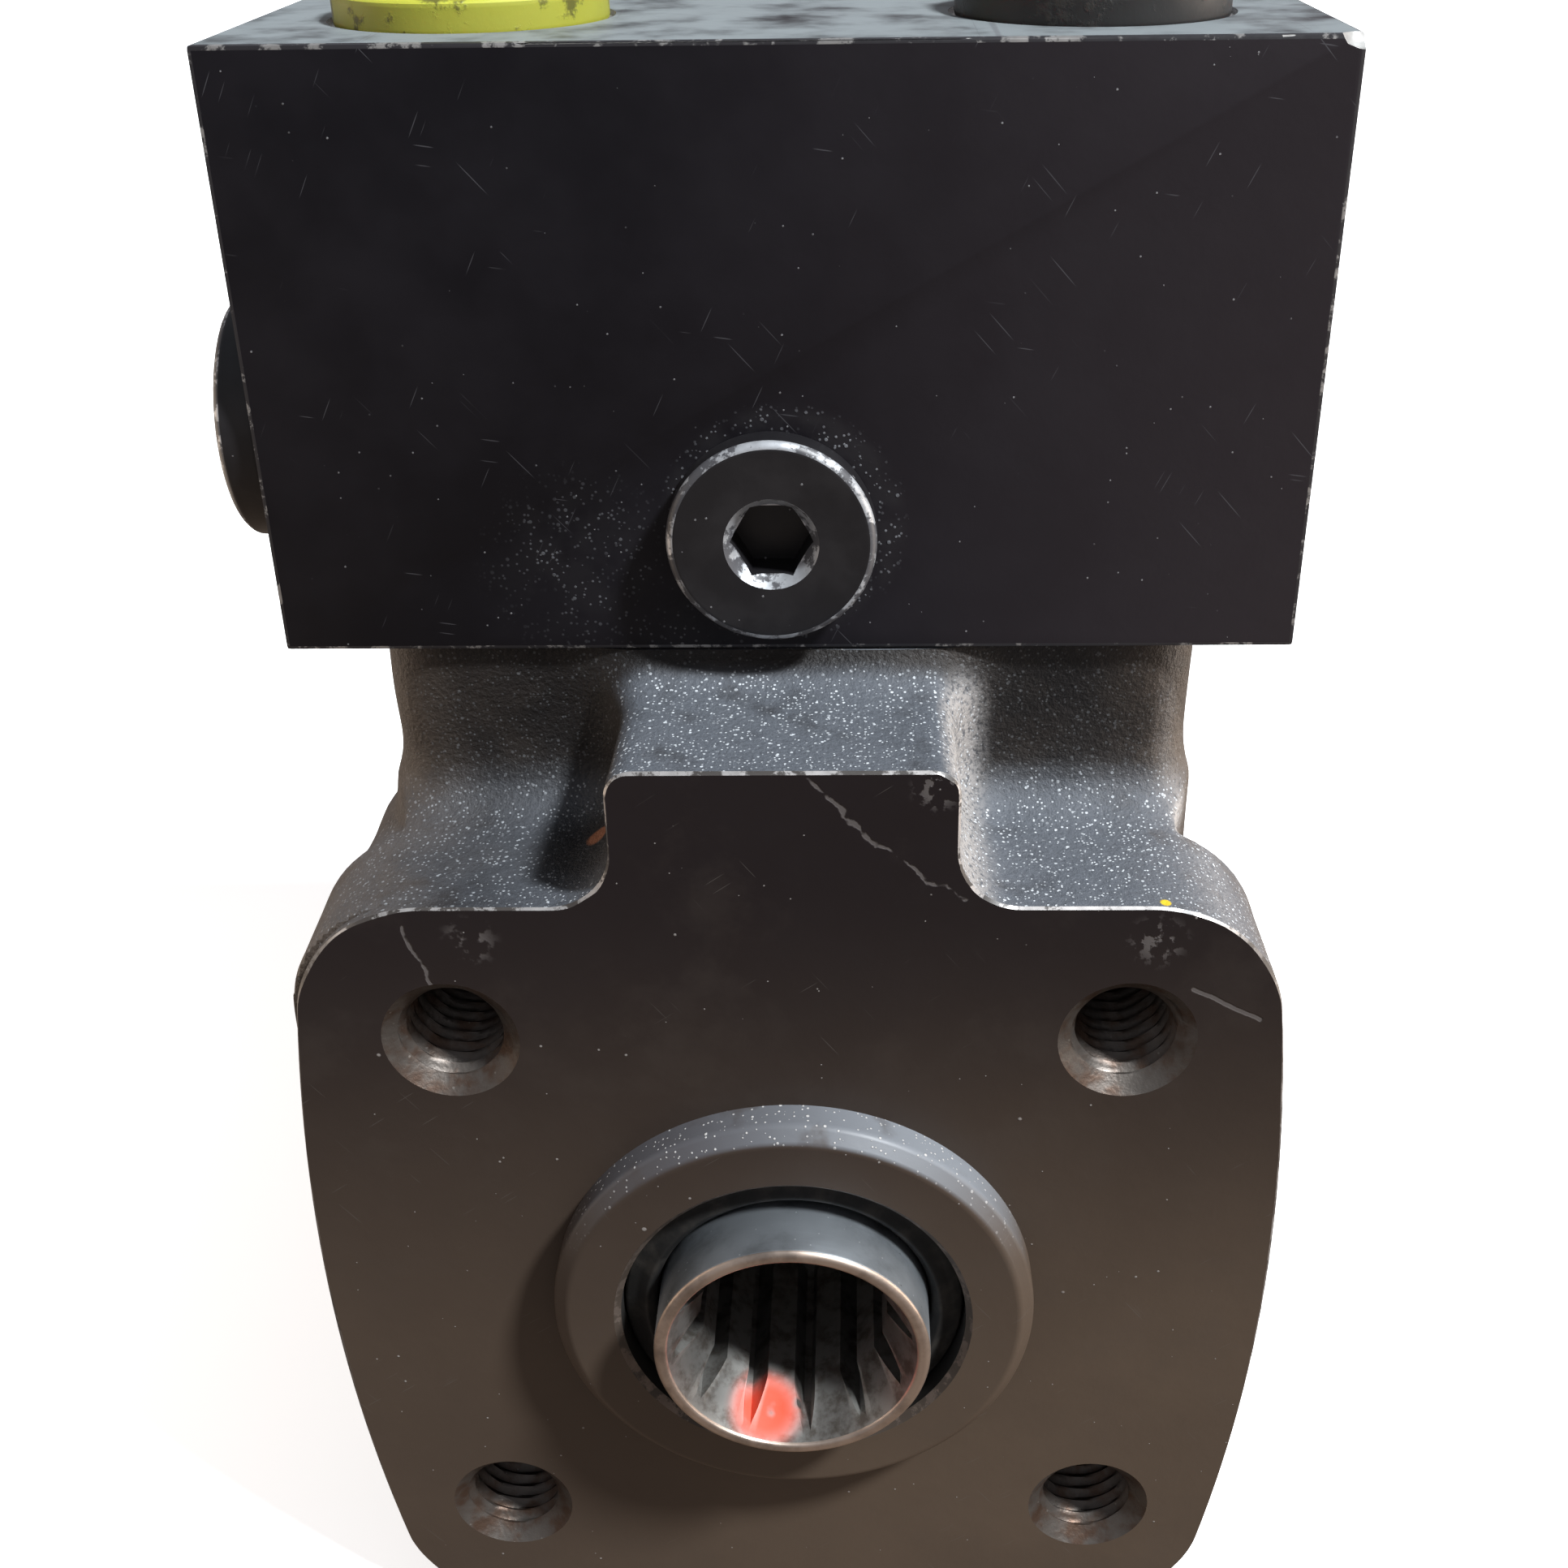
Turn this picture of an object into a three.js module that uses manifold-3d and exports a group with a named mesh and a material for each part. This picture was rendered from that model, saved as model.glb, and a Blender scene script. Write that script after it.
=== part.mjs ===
// Hydrostatic steering unit: a rotary valve (spool in sleeve) feeding a gerotor set,
// with a steel port block bolted on top. Millimetres. In the unit's own frame the input
// shaft lies along Y through the origin, Y = 0 is the mounting face, +Y runs into the
// unit and +Z is up.
import * as THREE from "three";
import { mergeVertices } from "three/addons/utils/BufferGeometryUtils.js";
import Module from "manifold-3d";

const wasm = await Module();
wasm.setup();

// ---------------------------------------------------------------- driving dimensions
const GAP = 0.3; // between plates and covers that touch
const BASE_Z = -44; // the flat foot of the flange and the lowest line of the gerotor set

// Mounting flange (front plate of the housing)
const FLANGE = { thick: 14.5, halfWidth: 44, barrel: 210, barrelZ: 4, cornerR: 12, earsZ: 42.7 };
const TAB = { halfWidth: 14.3, topZ: 55.5, cornerR: 2.3, filletR: 5.5 };
const MOUNT_PITCH = 82.55 / Math.SQRT2; // four threaded holes on an 82.55 mm circle
const MOUNT_HOLE = { r: 4.5, mouthR: 6, depth: 17, bossR: 8.6, bossY: 20 };
const PILOT = { r: 22.2, boreR: 15.9, height: 4, bevel: 1.3 };

// Housing behind the flange
const BODY = { halfWidth: 36, topZ: 58.3, bottomR: 36, y0: 18, y1: 95, cornerR: 5 };
const CAST_BUMP = { x: -34.4, z: 30.4, r: 9.2, y1: 33 };
const REAR_FLANGE = { r: 44, y0: 73 };
const VALVE_BORE = { r: 19.1, y0: 20 };
const JOURNAL_BORE_R = 12.85;
const SEAL_GROOVE = { r: 16.2, y0: 6, y1: 10.5 };
const DUST_SEAT_Y = 2.8;
const GROOVE = { r: 20.6, width: 6 };
const VALVE_STATIONS = [52, 70]; // annular grooves under the housing's port drillings

// Port block
const BLOCK = { halfWidth: 43.6, y0: 17, y1: 95, z0: 58.5, z1: 107.7, chamfer: 0.5 };
const PORT = { x: 25.3, y: [34, 76], mouthR: 10.2, depth: 16, drillR: 6.2, drillZ: 77.8 };
const SPOT_FACE = { r: 11.7, depth: 0.4 }; // machined round each port mouth
const BASE_PORT = { x: 12, r: 4, ringR: 6.2, ringWire: 0.75 };
const BLOCK_BOLTS = [[29, 55], [-29, 55], [10, 87], [-10, 87]];
const BLOCK_BOLT = { r: 4, headR: 6.4, headH: 8, seatZ: 98.6, tipZ: 43.5 };
const FRONT_PLUG = { x: -1, z: 69.3, headR: 8.75, proud: 3.1, shankR: 6.85 };
const RELIEF = { boreR: 7, endY: 48, passageR: 2.2 };
const SIDE_PLUG = { y: 28.5, z: 76, headR: 10.4, proud: 3.4, shankR: 7.4, length: 12 };
const CAP = { flangeR: 11.2, flangeH: 2.6, crownR: 9.6, crownH: 6.5, stemR: 9.6, stemL: 9 };

// Valve set
const SPOOL = { journalR: 12.5, frontY: -8.2, r: 14.6, shoulderY: 26, rearY: 90, boreR: 11.5 };
const SLEEVE = { r: 18.9, innerR: 14.85, y0: 25.4, y1: 94.6 };
const INPUT_SPLINE = { teeth: 12, majorR: 10.4, minorR: 8.7, y0: -5.6, y1: 14 };
const SPRING_SLOT = { y: 31.5, width: 6, height: 8 };
const SPRING_RING = { r: 18.75, innerR: 17.6, y0: 28.3, y1: 34.7 };
const CROSS_PIN = { y: 43, r: 3, halfLength: 18.4, lostMotionR: 5.3 };

// Gerotor set, end cap and screws
const SPACER = { y0: 95.2, y1: 100.2, holeR: 12 };
const RING = { y0: 100.4, y1: 125.4, r: 44 };
const CAP_PLATE = { y0: 125.6, y1: 141.6, r: 44, reliefR: 30 };
const GEROTOR = { pins: 7, pinCircleR: 28, pinR: 7.5, eccentricity: 3, clearance: 0.15 };
const END_SCREW = { circleR: 36.5, r: 4, holeR: 4.5, headH: 5.6, washerR: 7, tipY: 80 };
const FEED = { rearR: 27, frontR: 17.5, frontY: 73, r: 2.2 };
const DRIVE_SPLINE = { teeth: 12, majorR: 9.6, minorR: 8.2, y0: 103.5, y1: 121.6 };
const STAR_BORE = { majorR: 10.5, minorR: 8.95 };

// ---------------------------------------------------------------- materials
const paint = (color, roughness, metalness = 0.1) =>
  new THREE.MeshStandardMaterial({ color, roughness, metalness });
const castPaint = () => paint(0x241d1a, 0.55);
const blockPaint = () => paint(0x1a181d, 0.42);
const steel = () => paint(0x8b8c8e, 0.35, 0.95);
const darkSteel = () => paint(0x55565a, 0.45, 0.85);
const blackOxide = () => paint(0x1d1d20, 0.5, 0.6);
const rubber = () => paint(0x121212, 0.9, 0);
const yellowPlastic = () => paint(0xb9b53a, 0.5, 0);
const blackPlastic = () => paint(0x191a1c, 0.55, 0);

// ---------------------------------------------------------------- geometry helpers
// A closed three.js geometry with merged vertices and its faces turned outwards.
function closed(geometry) {
  const bare = geometry.clone();
  bare.deleteAttribute("normal");
  bare.deleteAttribute("uv");
  const merged = mergeVertices(bare, 1e-4);
  const position = merged.attributes.position;
  const index = merged.index.array;
  const [a, b, c] = [new THREE.Vector3(), new THREE.Vector3(), new THREE.Vector3()];
  let volume = 0;
  for (let i = 0; i < index.length; i += 3) {
    a.fromBufferAttribute(position, index[i]);
    b.fromBufferAttribute(position, index[i + 1]);
    c.fromBufferAttribute(position, index[i + 2]);
    volume += a.dot(b.cross(c));
  }
  if (volume < 0) {
    for (let i = 0; i < index.length; i += 3) {
      [index[i + 1], index[i + 2]] = [index[i + 2], index[i + 1]];
    }
  }
  return merged;
}

function toManifold(geometry) {
  const merged = closed(geometry);
  const vertProperties = merged.attributes.position.array;
  const triVerts = new Uint32Array(merged.index.array);
  return new wasm.Manifold(new wasm.Mesh({ numProp: 3, vertProperties, triVerts }));
}

function toGeometry(manifold) {
  const mesh = manifold.getMesh();
  const geometry = new THREE.BufferGeometry();
  geometry.setAttribute("position", new THREE.BufferAttribute(mesh.vertProperties, 3));
  geometry.setIndex(new THREE.BufferAttribute(mesh.triVerts, 1));
  geometry.computeVertexNormals();
  return geometry;
}

const union = (geometries) =>
  toGeometry(geometries.map(toManifold).reduce((whole, piece) => whole.add(piece)));

const cut = (body, tools) =>
  toGeometry(tools.map(toManifold).reduce((whole, tool) => whole.subtract(tool), toManifold(body)));

const common = (a, b) => toGeometry(toManifold(a).intersect(toManifold(b)));

// A body turned about the Y axis from [radius, y] points.
function turned(points, segments = 48) {
  const profile = points.map(([r, y]) => new THREE.Vector2(r, y));
  return closed(new THREE.LatheGeometry(profile, segments));
}

// A plain disc or ring about the Y axis, from y0 to y1.
function ring(outerR, innerR, y0, y1, segments = 36) {
  const outside = [[outerR, y0], [outerR, y1]];
  if (innerR === 0) return turned([[0, y0], ...outside, [0, y1]], segments);
  return turned([[innerR, y0], ...outside, [innerR, y1], [innerR, y0]], segments);
}

// An O-ring about the Y axis.
function torus(radius, wire, segments = 14, sides = 4) {
  return closed(new THREE.TorusGeometry(radius, wire, sides, segments).rotateX(Math.PI / 2));
}

// A flat outline, drawn in X and Z, swept along Y from y0 to y1.
function plate(shape, y0, y1, curveSegments = 10) {
  const options = { depth: y1 - y0, bevelEnabled: false, curveSegments };
  return closed(new THREE.ExtrudeGeometry(shape, options).rotateX(Math.PI / 2)).translate(0, y1, 0);
}

function box(x0, x1, y0, y1, z0, z1) {
  return new THREE.BoxGeometry(x1 - x0, y1 - y0, z1 - z0)
    .translate((x0 + x1) / 2, (y0 + y1) / 2, (z0 + z1) / 2);
}

// A round bar between two points: a drilling when it is used as a cutting tool.
function bar(from, to, r, segments = 12) {
  const a = new THREE.Vector3(...from);
  const b = new THREE.Vector3(...to);
  const turn = new THREE.Quaternion()
    .setFromUnitVectors(new THREE.Vector3(0, 1, 0), b.clone().sub(a).normalize());
  return ring(r, 0, 0, a.distanceTo(b), segments).applyQuaternion(turn).translate(...a);
}

const upright = (geometry, x, y) => geometry.rotateX(Math.PI / 2).translate(x, y, 0);

const hexagon = (acrossFlats, y0, y1) => {
  const r = acrossFlats / Math.sqrt(3);
  return ring(r, 0, y0, y1, 6);
};

// A ring of straight-sided teeth: tooth tips at one radius, roots at the other.
function toothedShape(teeth, rootR, tipR, rootShare, tipShare) {
  const shape = new THREE.Shape();
  const pitch = (2 * Math.PI) / teeth;
  for (let i = 0; i < teeth; i++) {
    const corners = [
      [rootR, -rootShare / 2],
      [rootR, rootShare / 2],
      [tipR, 0.5 - tipShare / 2],
      [tipR, 0.5 + tipShare / 2],
    ];
    corners.forEach(([r, share], k) => {
      const angle = (i + share) * pitch;
      const move = i === 0 && k === 0 ? "moveTo" : "lineTo";
      shape[move](r * Math.cos(angle), r * Math.sin(angle));
    });
  }
  shape.closePath();
  return shape;
}

function node(name, geometry, material) {
  const mesh = new THREE.Mesh(geometry, material);
  mesh.name = name;
  return mesh;
}

const angleOf = (i, count, first = 0) => first + (i * 2 * Math.PI) / count;

// ---------------------------------------------------------------- housing
function flangeShape() {
  const s = new THREE.Shape();
  const bow = (z) => FLANGE.halfWidth - (z - FLANGE.barrelZ) ** 2 / (2 * FLANGE.barrel);
  const r = FLANGE.cornerR;
  const lowZ = BASE_Z + r;
  const highZ = FLANGE.earsZ - r;
  const lowX = bow(lowZ) - r;
  const highX = bow(highZ) - r;
  const filletX = TAB.halfWidth + TAB.filletR;
  const side = [-16, 0, 16].map((z) => [bow(z), z]);
  s.moveTo(-lowX, BASE_Z);
  s.lineTo(lowX, BASE_Z);
  s.absarc(lowX, lowZ, r, -Math.PI / 2, 0);
  side.forEach(([x, z]) => s.lineTo(x, z));
  s.absarc(highX, highZ, r, 0, Math.PI / 2);
  s.lineTo(filletX, FLANGE.earsZ);
  s.absarc(filletX, FLANGE.earsZ + TAB.filletR, TAB.filletR, -Math.PI / 2, -Math.PI, true);
  s.lineTo(TAB.halfWidth, TAB.topZ - TAB.cornerR);
  s.absarc(TAB.halfWidth - TAB.cornerR, TAB.topZ - TAB.cornerR, TAB.cornerR, 0, Math.PI / 2);
  s.lineTo(-TAB.halfWidth + TAB.cornerR, TAB.topZ);
  s.absarc(-TAB.halfWidth + TAB.cornerR, TAB.topZ - TAB.cornerR, TAB.cornerR, Math.PI / 2, Math.PI);
  s.lineTo(-TAB.halfWidth, FLANGE.earsZ + TAB.filletR);
  s.absarc(-filletX, FLANGE.earsZ + TAB.filletR, TAB.filletR, 0, -Math.PI / 2, true);
  s.lineTo(-highX, FLANGE.earsZ);
  s.absarc(-highX, highZ, r, Math.PI / 2, Math.PI);
  [...side].reverse().forEach(([x, z]) => s.lineTo(-x, z));
  s.absarc(-lowX, lowZ, r, Math.PI, 1.5 * Math.PI);
  return s;
}

function bodyShape() {
  const s = new THREE.Shape();
  s.moveTo(BODY.halfWidth, 0);
  s.lineTo(BODY.halfWidth, BODY.topZ);
  s.lineTo(-BODY.halfWidth, BODY.topZ);
  s.lineTo(-BODY.halfWidth, 0);
  s.absarc(0, 0, BODY.bottomR, Math.PI, 2 * Math.PI);
  return s;
}

// The upper body seen from above, with its two front corners rounded.
function neckPlanShape() {
  const s = new THREE.Shape();
  const { halfWidth: w, cornerR: r, y0, y1 } = BODY;
  s.moveTo(-w, -y1);
  s.lineTo(w, -y1);
  s.lineTo(w, -y0 - r);
  s.absarc(w - r, -y0 - r, r, 0, Math.PI / 2);
  s.lineTo(-w + r, -y0);
  s.absarc(-w + r, -y0 - r, r, Math.PI / 2, Math.PI);
  return s;
}

const corners = (half) => [[-half, half], [half, half], [-half, -half], [half, -half]];

function housingOutside() {
  const tab = box(-TAB.halfWidth, TAB.halfWidth, 10, BODY.y0 + 2, 20, TAB.topZ);
  const body = plate(bodyShape(), FLANGE.thick - 1, BODY.y1, 14);
  const neckPlan = new THREE.ExtrudeGeometry(neckPlanShape(), {
    depth: 2 * BODY.topZ,
    bevelEnabled: false,
    curveSegments: 6,
  }).rotateX(Math.PI);
  neckPlan.translate(0, 0, BODY.topZ + 0.01);
  const neck = common(body, union([neckPlan, ring(BODY.bottomR + 1, 0, FLANGE.thick - 1, BODY.y1)]));
  const bosses = corners(MOUNT_PITCH / 2).map(([x, z]) =>
    ring(MOUNT_HOLE.bossR, 0, 10, MOUNT_HOLE.bossY, 16).translate(x, 0, z));
  const bump = turned([[0, 9], [CAST_BUMP.r, 9], [CAST_BUMP.r, CAST_BUMP.y1 - 3],
    [CAST_BUMP.r - 3, CAST_BUMP.y1], [0, CAST_BUMP.y1]], 16).translate(CAST_BUMP.x, 0, CAST_BUMP.z);
  const pilot = turned([[0, 1], [PILOT.r, 1], [PILOT.r, -PILOT.height + PILOT.bevel],
    [PILOT.r - PILOT.bevel, -PILOT.height], [0, -PILOT.height]], 40);
  const rear = turned([[0, REAR_FLANGE.y0 - 6], [BODY.bottomR - 2, REAR_FLANGE.y0 - 6],
    [REAR_FLANGE.r, REAR_FLANGE.y0 + 3], [REAR_FLANGE.r, BODY.y1], [0, BODY.y1]], 40);
  return union([plate(flangeShape(), 0, FLANGE.thick), tab, neck, pilot, rear, bump, ...bosses]);
}

function mountHoles() {
  const { r, mouthR, depth } = MOUNT_HOLE;
  const profile = [[0, -1], [mouthR + 1, -1], [r, mouthR - r], [r, depth], [0, depth + 2.4]];
  return corners(MOUNT_PITCH / 2).map(([x, z]) => turned(profile, 12).translate(x, 0, z));
}

function valveBore() {
  const { r: grooveR, width } = GROOVE;
  const grooves = VALVE_STATIONS.flatMap((y) => [
    [VALVE_BORE.r, y - width / 2],
    [grooveR, y - width / 2],
    [grooveR, y + width / 2],
    [VALVE_BORE.r, y + width / 2],
  ]);
  return turned([
    [0, -PILOT.height - 1],
    [PILOT.boreR, -PILOT.height - 1],
    [PILOT.boreR, DUST_SEAT_Y],
    [JOURNAL_BORE_R, DUST_SEAT_Y],
    [JOURNAL_BORE_R, SEAL_GROOVE.y0],
    [SEAL_GROOVE.r, SEAL_GROOVE.y0],
    [SEAL_GROOVE.r, SEAL_GROOVE.y1],
    [JOURNAL_BORE_R, SEAL_GROOVE.y1],
    [JOURNAL_BORE_R, VALVE_BORE.y0],
    [VALVE_BORE.r, VALVE_BORE.y0],
    ...grooves,
    [VALVE_BORE.r, BODY.y1 + 1],
    [0, BODY.y1 + 1],
  ], 24);
}

const basePorts = () => VALVE_STATIONS.flatMap((y) => [[-BASE_PORT.x, y], [BASE_PORT.x, y]]);

function housing() {
  const drillings = basePorts().map(([x, y]) => bar([x, y, 10], [x, y, BODY.topZ + 1], BASE_PORT.r, 8));
  const screwHoles = BLOCK_BOLTS.map(([x, y]) =>
    bar([x, y, BLOCK_BOLT.tipZ - 2], [x, y, BODY.topZ + 1], BLOCK_BOLT.r + GAP, 10));
  const rearHoles = endScrewPlaces().map(([x, z]) =>
    bar([x, END_SCREW.tipY - 2, z], [x, BODY.y1 + 1, z], END_SCREW.holeR, 10));
  const feeds = feedAngles().map((a) => {
    const at = (radius, y) => [radius * Math.cos(a), y, radius * Math.sin(a)];
    return bar(at(FEED.frontR, FEED.frontY), at(FEED.rearR, BODY.y1 + 1), FEED.r, 6);
  });
  return cut(housingOutside(),
    [valveBore(), ...mountHoles(), ...drillings, ...screwHoles, ...rearHoles, ...feeds]);
}

// ---------------------------------------------------------------- port block
const portPlaces = () => PORT.y.flatMap((y) => [[-PORT.x, y], [PORT.x, y]]);

function chamferedBlock() {
  const { halfWidth: w, y0, y1, z0, z1, chamfer: c } = BLOCK;
  const s = new THREE.Shape();
  s.moveTo(-w + 2 * c, z0 + c);
  s.lineTo(w - 2 * c, z0 + c);
  s.lineTo(w - c, z0 + 2 * c);
  s.lineTo(w - c, z1 - 2 * c);
  s.lineTo(w - 2 * c, z1 - c);
  s.lineTo(-w + 2 * c, z1 - c);
  s.lineTo(-w + c, z1 - 2 * c);
  s.lineTo(-w + c, z0 + 2 * c);
  s.closePath();
  const options = { depth: y1 - y0 - 2 * c, bevelSize: c, bevelThickness: c, bevelSegments: 1 };
  return closed(new THREE.ExtrudeGeometry(s, options).rotateX(Math.PI / 2)).translate(0, y1 - c, 0);
}

function portBlock() {
  const { z0, z1, y0 } = BLOCK;
  const ports = portPlaces().map(([x, y]) =>
    bar([x, y, z1 - PORT.depth], [x, y, z1 + 1], PORT.mouthR, 18));
  const spotFaces = portPlaces().map(([x, y]) =>
    bar([x, y, z1 - SPOT_FACE.depth], [x, y, z1 + 1], SPOT_FACE.r, 18));
  const drills = portPlaces().map(([x, y]) =>
    bar([x, y, PORT.drillZ], [x, y, z1 - PORT.depth + 1], PORT.drillR, 12));
  const tops = portPlaces();
  const links = basePorts().map(([x, y], i) =>
    bar([tops[i][0], tops[i][1], PORT.drillZ + 3], [x, y, z0 - 2], BASE_PORT.r, 8));
  const grooves = basePorts().map(([x, y]) =>
    upright(ring(BASE_PORT.ringR + 1, BASE_PORT.ringR - 1, -z0 - 1.4, -z0 + 1, 16)
      .rotateX(Math.PI), x, y));
  const screwHoles = BLOCK_BOLTS.flatMap(([x, y]) => [
    bar([x, y, z0 - 1], [x, y, z1], BLOCK_BOLT.r + 0.5, 10),
    bar([x, y, BLOCK_BOLT.seatZ], [x, y, z1 + 1], BLOCK_BOLT.headR + 0.5, 16),
  ]);
  const { x: px, z: pz } = FRONT_PLUG;
  const relief = turned([[0, y0 - 1], [8.4, y0 - 1], [8.4, y0 + 2.4], [RELIEF.boreR, y0 + 2.4],
    [RELIEF.boreR, RELIEF.endY], [0, RELIEF.endY]], 20).translate(px, 0, pz);
  const reliefIn = bar([px, RELIEF.endY - 1, pz], [px, 60, pz], RELIEF.passageR, 10);
  const reliefFeed = bar([px, 58, pz], [-14, 54, pz - 6], RELIEF.passageR, 10);
  const reliefOut = bar([px + 4, 38, pz - 2], [18.5, 44, pz], RELIEF.passageR, 10);
  const w = BLOCK.halfWidth;
  const side = bar([-w - 1, SIDE_PLUG.y, SIDE_PLUG.z], [-w + 2.2, SIDE_PLUG.y, SIDE_PLUG.z], 9.2, 20);
  const sideBore = bar([-w, SIDE_PLUG.y, SIDE_PLUG.z],
    [-w + SIDE_PLUG.length + 2, SIDE_PLUG.y, SIDE_PLUG.z], SIDE_PLUG.shankR + GAP, 20);
  return cut(chamferedBlock(), [...ports, ...spotFaces, ...drills, ...links, ...grooves, ...screwHoles,
    relief, reliefIn, reliefFeed, reliefOut, side, sideBore]);
}

function socketScrew({ r, headR, headH }, length) {
  const outline = [[0, -length], [r, -length], [r, 0], [headR, 0], [headR, headH - 0.6],
    [headR - 0.6, headH], [0, headH]];
  return cut(turned(outline, 14), [hexagon(6, headH - 4.5, headH + 1)]);
}

function blockScrews() {
  return BLOCK_BOLTS.map(([x, y], i) => {
    const length = BLOCK_BOLT.seatZ + GAP - BLOCK_BOLT.tipZ;
    const screw = node(`block_screw_${i + 1}`, socketScrew(BLOCK_BOLT, length), blackOxide());
    screw.rotation.x = Math.PI / 2;
    screw.position.set(x, y, BLOCK_BOLT.seatZ + GAP);
    return screw;
  });
}

function blockSeals() {
  return basePorts().map(([x, y], i) => {
    const seal = node(`block_face_oring_${i + 1}`, torus(BASE_PORT.ringR, BASE_PORT.ringWire), rubber());
    seal.rotation.x = Math.PI / 2;
    seal.position.set(x, y, BLOCK.z0 + 0.6);
    return seal;
  });
}

// A hexagon-socket port plug along +Y: bevelled head in front of Y = 0, seal groove and shank behind.
function socketPlug(headR, proud, shankR, length, socket) {
  const outline = [[0, -proud], [headR - 0.9, -proud], [headR, -proud + 0.9], [headR, 0 - 0.05],
    [shankR - 0.9, 0 - 0.05], [shankR - 0.9, 2.6], [shankR, 2.6], [shankR, length - 1],
    [shankR - 1, length], [0, length]];
  const mouth = turned([[0, -proud - 1], [socket * 0.72, -proud - 1], [socket * 0.66, -proud],
    [socket * 0.55, -proud + 1.3], [0, -proud + 1.3]], 12);
  return cut(turned(outline, 20), [mouth, hexagon(socket, -proud - 1, length * 0.45)]);
}

function plugs() {
  const front = node("front_port_plug", socketPlug(FRONT_PLUG.headR, FRONT_PLUG.proud,
    FRONT_PLUG.shankR, 10, 6), blackOxide());
  front.position.set(FRONT_PLUG.x, BLOCK.y0 - 0.1, FRONT_PLUG.z);
  const frontSeal = node("front_plug_oring", torus(7.1, 0.85), rubber());
  frontSeal.position.set(FRONT_PLUG.x, BLOCK.y0 + 1.2, FRONT_PLUG.z);
  const side = node("side_port_plug", socketPlug(SIDE_PLUG.headR, SIDE_PLUG.proud,
    SIDE_PLUG.shankR, SIDE_PLUG.length, 8), blackOxide());
  side.rotation.z = -Math.PI / 2;
  side.position.set(-BLOCK.halfWidth - 0.1, SIDE_PLUG.y, SIDE_PLUG.z);
  const sideSeal = node("side_plug_oring", torus(7.7, 0.85), rubber());
  sideSeal.rotation.z = -Math.PI / 2;
  sideSeal.position.set(-BLOCK.halfWidth + 1.2, SIDE_PLUG.y, SIDE_PLUG.z);
  return [front, frontSeal, side, sideSeal];
}

// A push-in shipping cap: hollow stem in the port, flange on the block, dished crown with a pull rib.
function portCap() {
  const { flangeR, flangeH, crownR, crownH, stemR, stemL } = CAP;
  const shell = turned([[0, -1.5], [stemR - 1.7, -1.5], [stemR - 1.7, -stemL], [stemR - 0.4, -stemL],
    [stemR, -0.05], [flangeR, -0.05], [flangeR, flangeH], [crownR, flangeH],
    [crownR - 0.6, crownH], [crownR - 2, crownH], [crownR - 2.2, 1.6], [0, 1.6]], 18);
  const rib = box(-crownR + 1.6, crownR - 1.6, 1, crownH - 0.6, -1.1, 1.1);
  return union([shell, rib]);
}

function portCaps() {
  const names = ["pressure_port_cap", "tank_port_cap", "left_port_cap", "right_port_cap"];
  return portPlaces().map(([x, y], i) => {
    const cap = node(names[i], portCap(), i === 0 ? yellowPlastic() : blackPlastic());
    cap.rotation.x = Math.PI / 2;
    cap.position.set(x, y, BLOCK.z1 - SPOT_FACE.depth + 0.05);
    return cap;
  });
}

// ---------------------------------------------------------------- valves in the block
const RELIEF_PARTS = { seatY: 44, seatEndY: 47.7, poppetY: 32.2, guideR: 6.7, coilR: 4.6, wire: 0.7 };

function coilSpring(y0, y1, radius, wire, turns) {
  class Helix extends THREE.Curve {
    getPoint(t) {
      const angle = 2 * Math.PI * turns * t;
      return new THREE.Vector3(radius * Math.cos(angle), y0 + (y1 - y0) * t, radius * Math.sin(angle));
    }
  }
  const section = new THREE.Shape();
  for (let i = 0; i <= 6; i++) {
    const a = angleOf(i, 6);
    section[i === 0 ? "moveTo" : "lineTo"](wire * Math.cos(a), wire * Math.sin(a));
  }
  const options = { steps: turns * 8, bevelEnabled: false, extrudePath: new Helix() };
  return closed(new THREE.ExtrudeGeometry(section, options));
}

function reliefValve() {
  const { seatY, seatEndY, poppetY, guideR, coilR, wire } = RELIEF_PARTS;
  const seat = ring(RELIEF.boreR - 0.1, 2, seatY, seatEndY, 16);
  const poppet = turned([[0, poppetY + 4], [5.6, poppetY + 4], [5.6, poppetY], [guideR, poppetY],
    [guideR, poppetY + 7.4], [3, poppetY + 8.4], [1.4, seatY - 0.1], [0, seatY - 0.1]], 16);
  const spring = coilSpring(28.4, poppetY + 3.1, coilR, wire, 4);
  const valve = new THREE.Group();
  valve.add(node("relief_valve_seat", seat, steel()));
  valve.add(node("relief_poppet", poppet, steel()));
  valve.add(node("relief_spring", spring, steel()));
  valve.position.set(FRONT_PLUG.x, 0, FRONT_PLUG.z);
  return valve;
}

const CHECK = { ballR: 4.6, ballZ: 84.2, seatZ0: 89.2, seatZ1: 91.5, seatHoleR: 3.4, stopH: 1.5 };

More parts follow.
